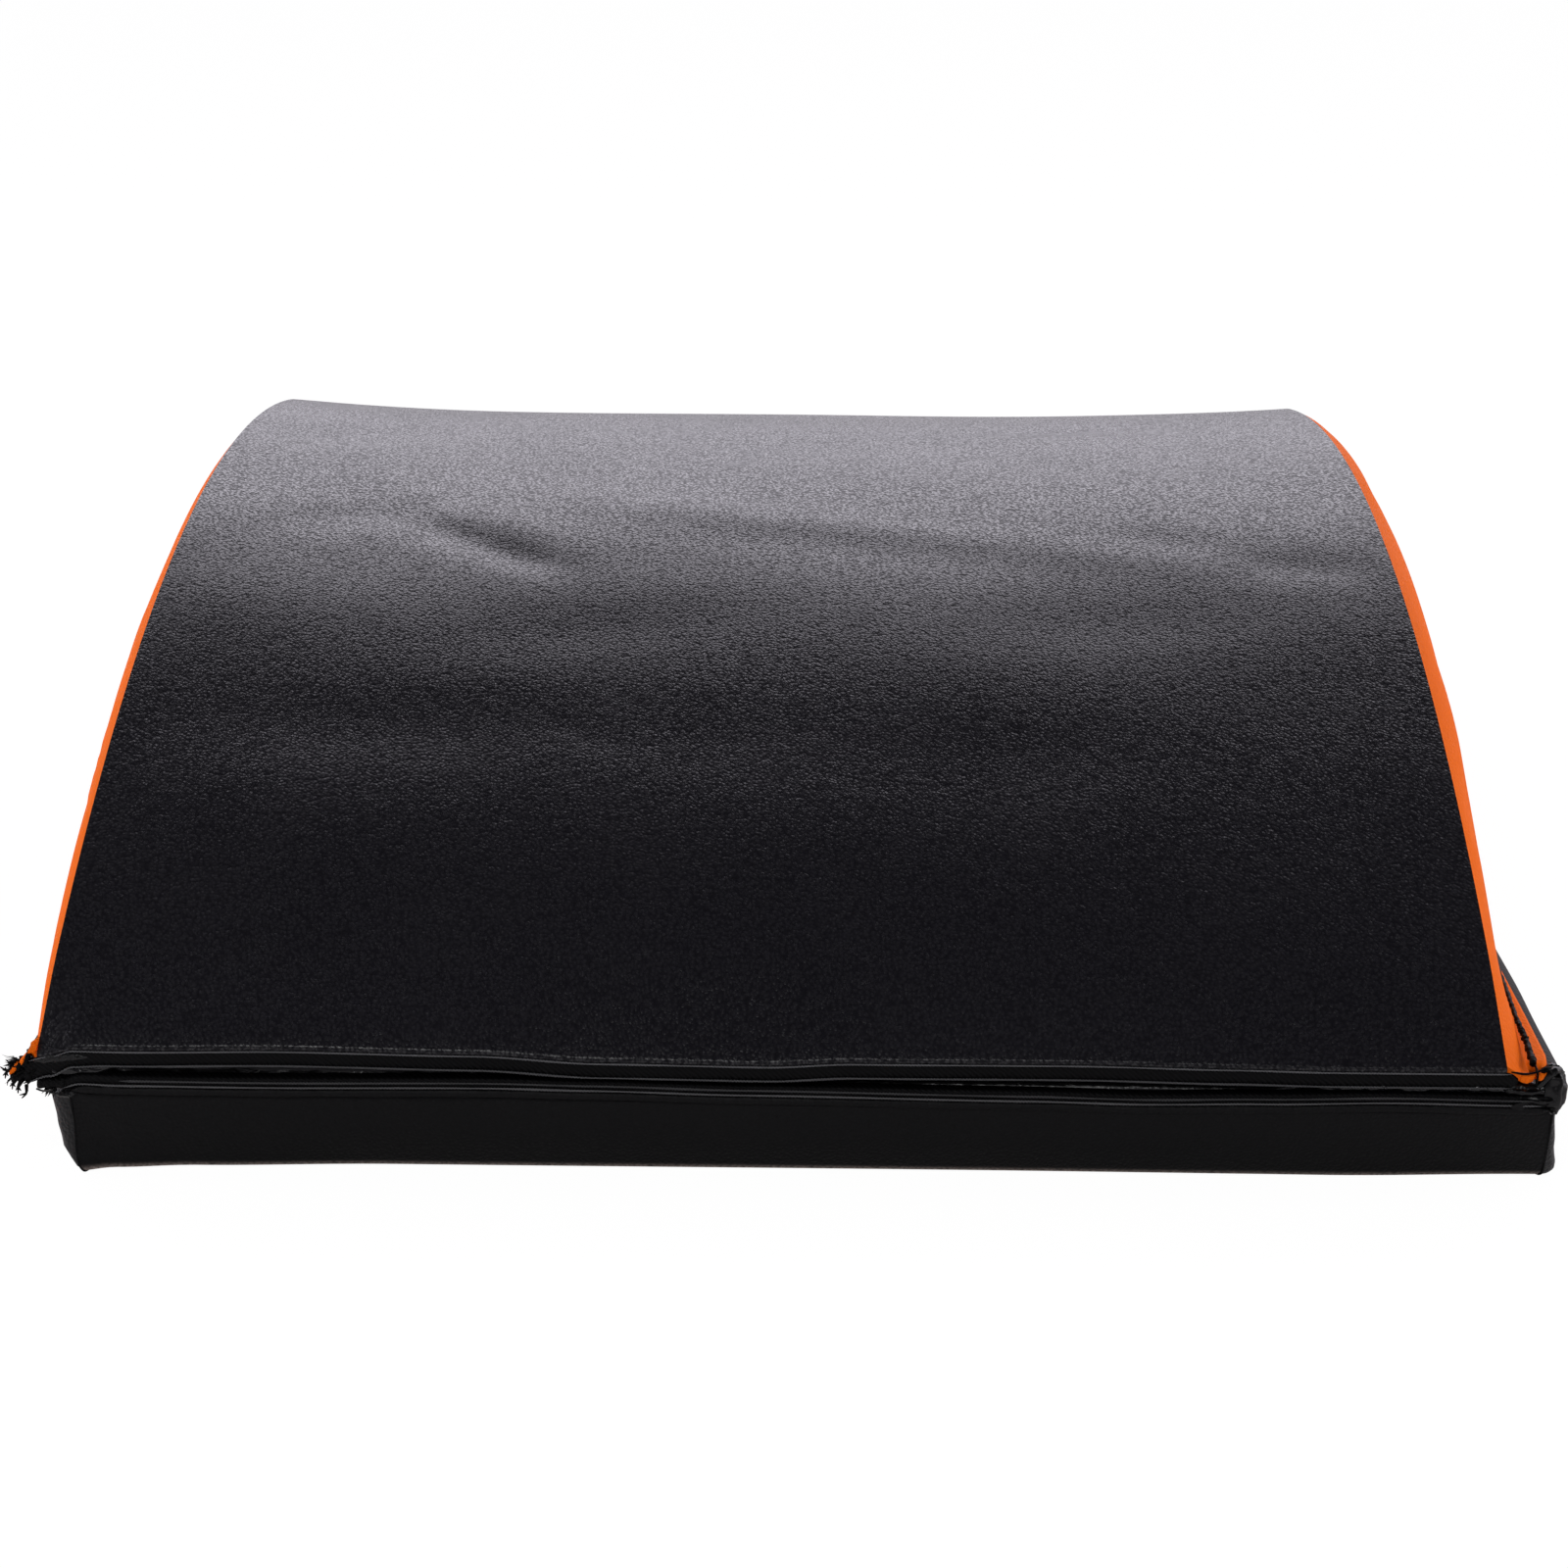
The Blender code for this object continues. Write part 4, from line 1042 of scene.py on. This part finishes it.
mixed = start.node("MixShader", inputs={0: seen * 0.92, 1: matt, 2: glow})
start.node("OutputMaterial", inputs={"Surface": mixed})

world = bpy.data.worlds.new("studio")
bpy.context.scene.world = world
world.use_nodes = True
world.node_tree.nodes.clear()
start = Wire(world.node_tree)
direction = start.node("TexCoord", output="Generated")
up = start.node("SeparateXYZ", inputs={"Vector": direction}, output="Z")
back = start.node("SeparateXYZ", inputs={"Vector": direction}, output="Y")
below_ceiling = start.node("MapRange", {"interpolation_type": "SMOOTHSTEP"},
                           {"Value": up, "From Min": 0.70, "From Max": 0.48, "To Min": 0.0, "To Max": 1.0})
above_wall = start.node("MapRange", {"interpolation_type": "SMOOTHSTEP"},
                        {"Value": up, "From Min": 0.20, "From Max": 0.70, "To Min": 0.36, "To Max": 1.34})
behind = start.node("MapRange", {"interpolation_type": "SMOOTHSTEP"},
                    {"Value": back, "From Min": -0.1, "From Max": 0.75, "To Min": 0.25, "To Max": 3.3})
light = below_ceiling * behind * above_wall + 0.04
studio = start.node("Background", inputs={"Color": (1.02, 0.98, 1.08, 1), "Strength": light})
white = start.node("Background", inputs={"Color": (1, 1, 1, 1), "Strength": 1.0})
seen = start.node("LightPath", output="Is Camera Ray")
mixed = start.node("MixShader", inputs={0: seen, 1: studio, 2: white})
start.node("OutputWorld", inputs={"Surface": mixed})


def soft_box(name, place, size, power):
    """Large square lamp that faces the mat."""
    lamp = bpy.data.objects.new(name, bpy.data.lights.new(name, "AREA"))
    lamp.data.shape = "SQUARE"
    lamp.data.size = size
    lamp.data.energy = power
    lamp.location = place
    lamp.rotation_euler = (-Vector(place)).to_track_quat("-Z", "Y").to_euler()
    bpy.context.collection.objects.link(lamp)


soft_box("left_lamp", (-1.5, -0.2, 0.6), 0.7, 8)
soft_box("right_lamp", (1.5, -0.2, 0.6), 0.7, 8)
soft_box("front_lamp", (0.0, -1.5, 1.15), 0.5, 3)
soft_box("high_lamp", (-0.35, -0.95, 1.45), 0.35, 3.5)

bpy.context.scene.view_settings.view_transform = "Standard"
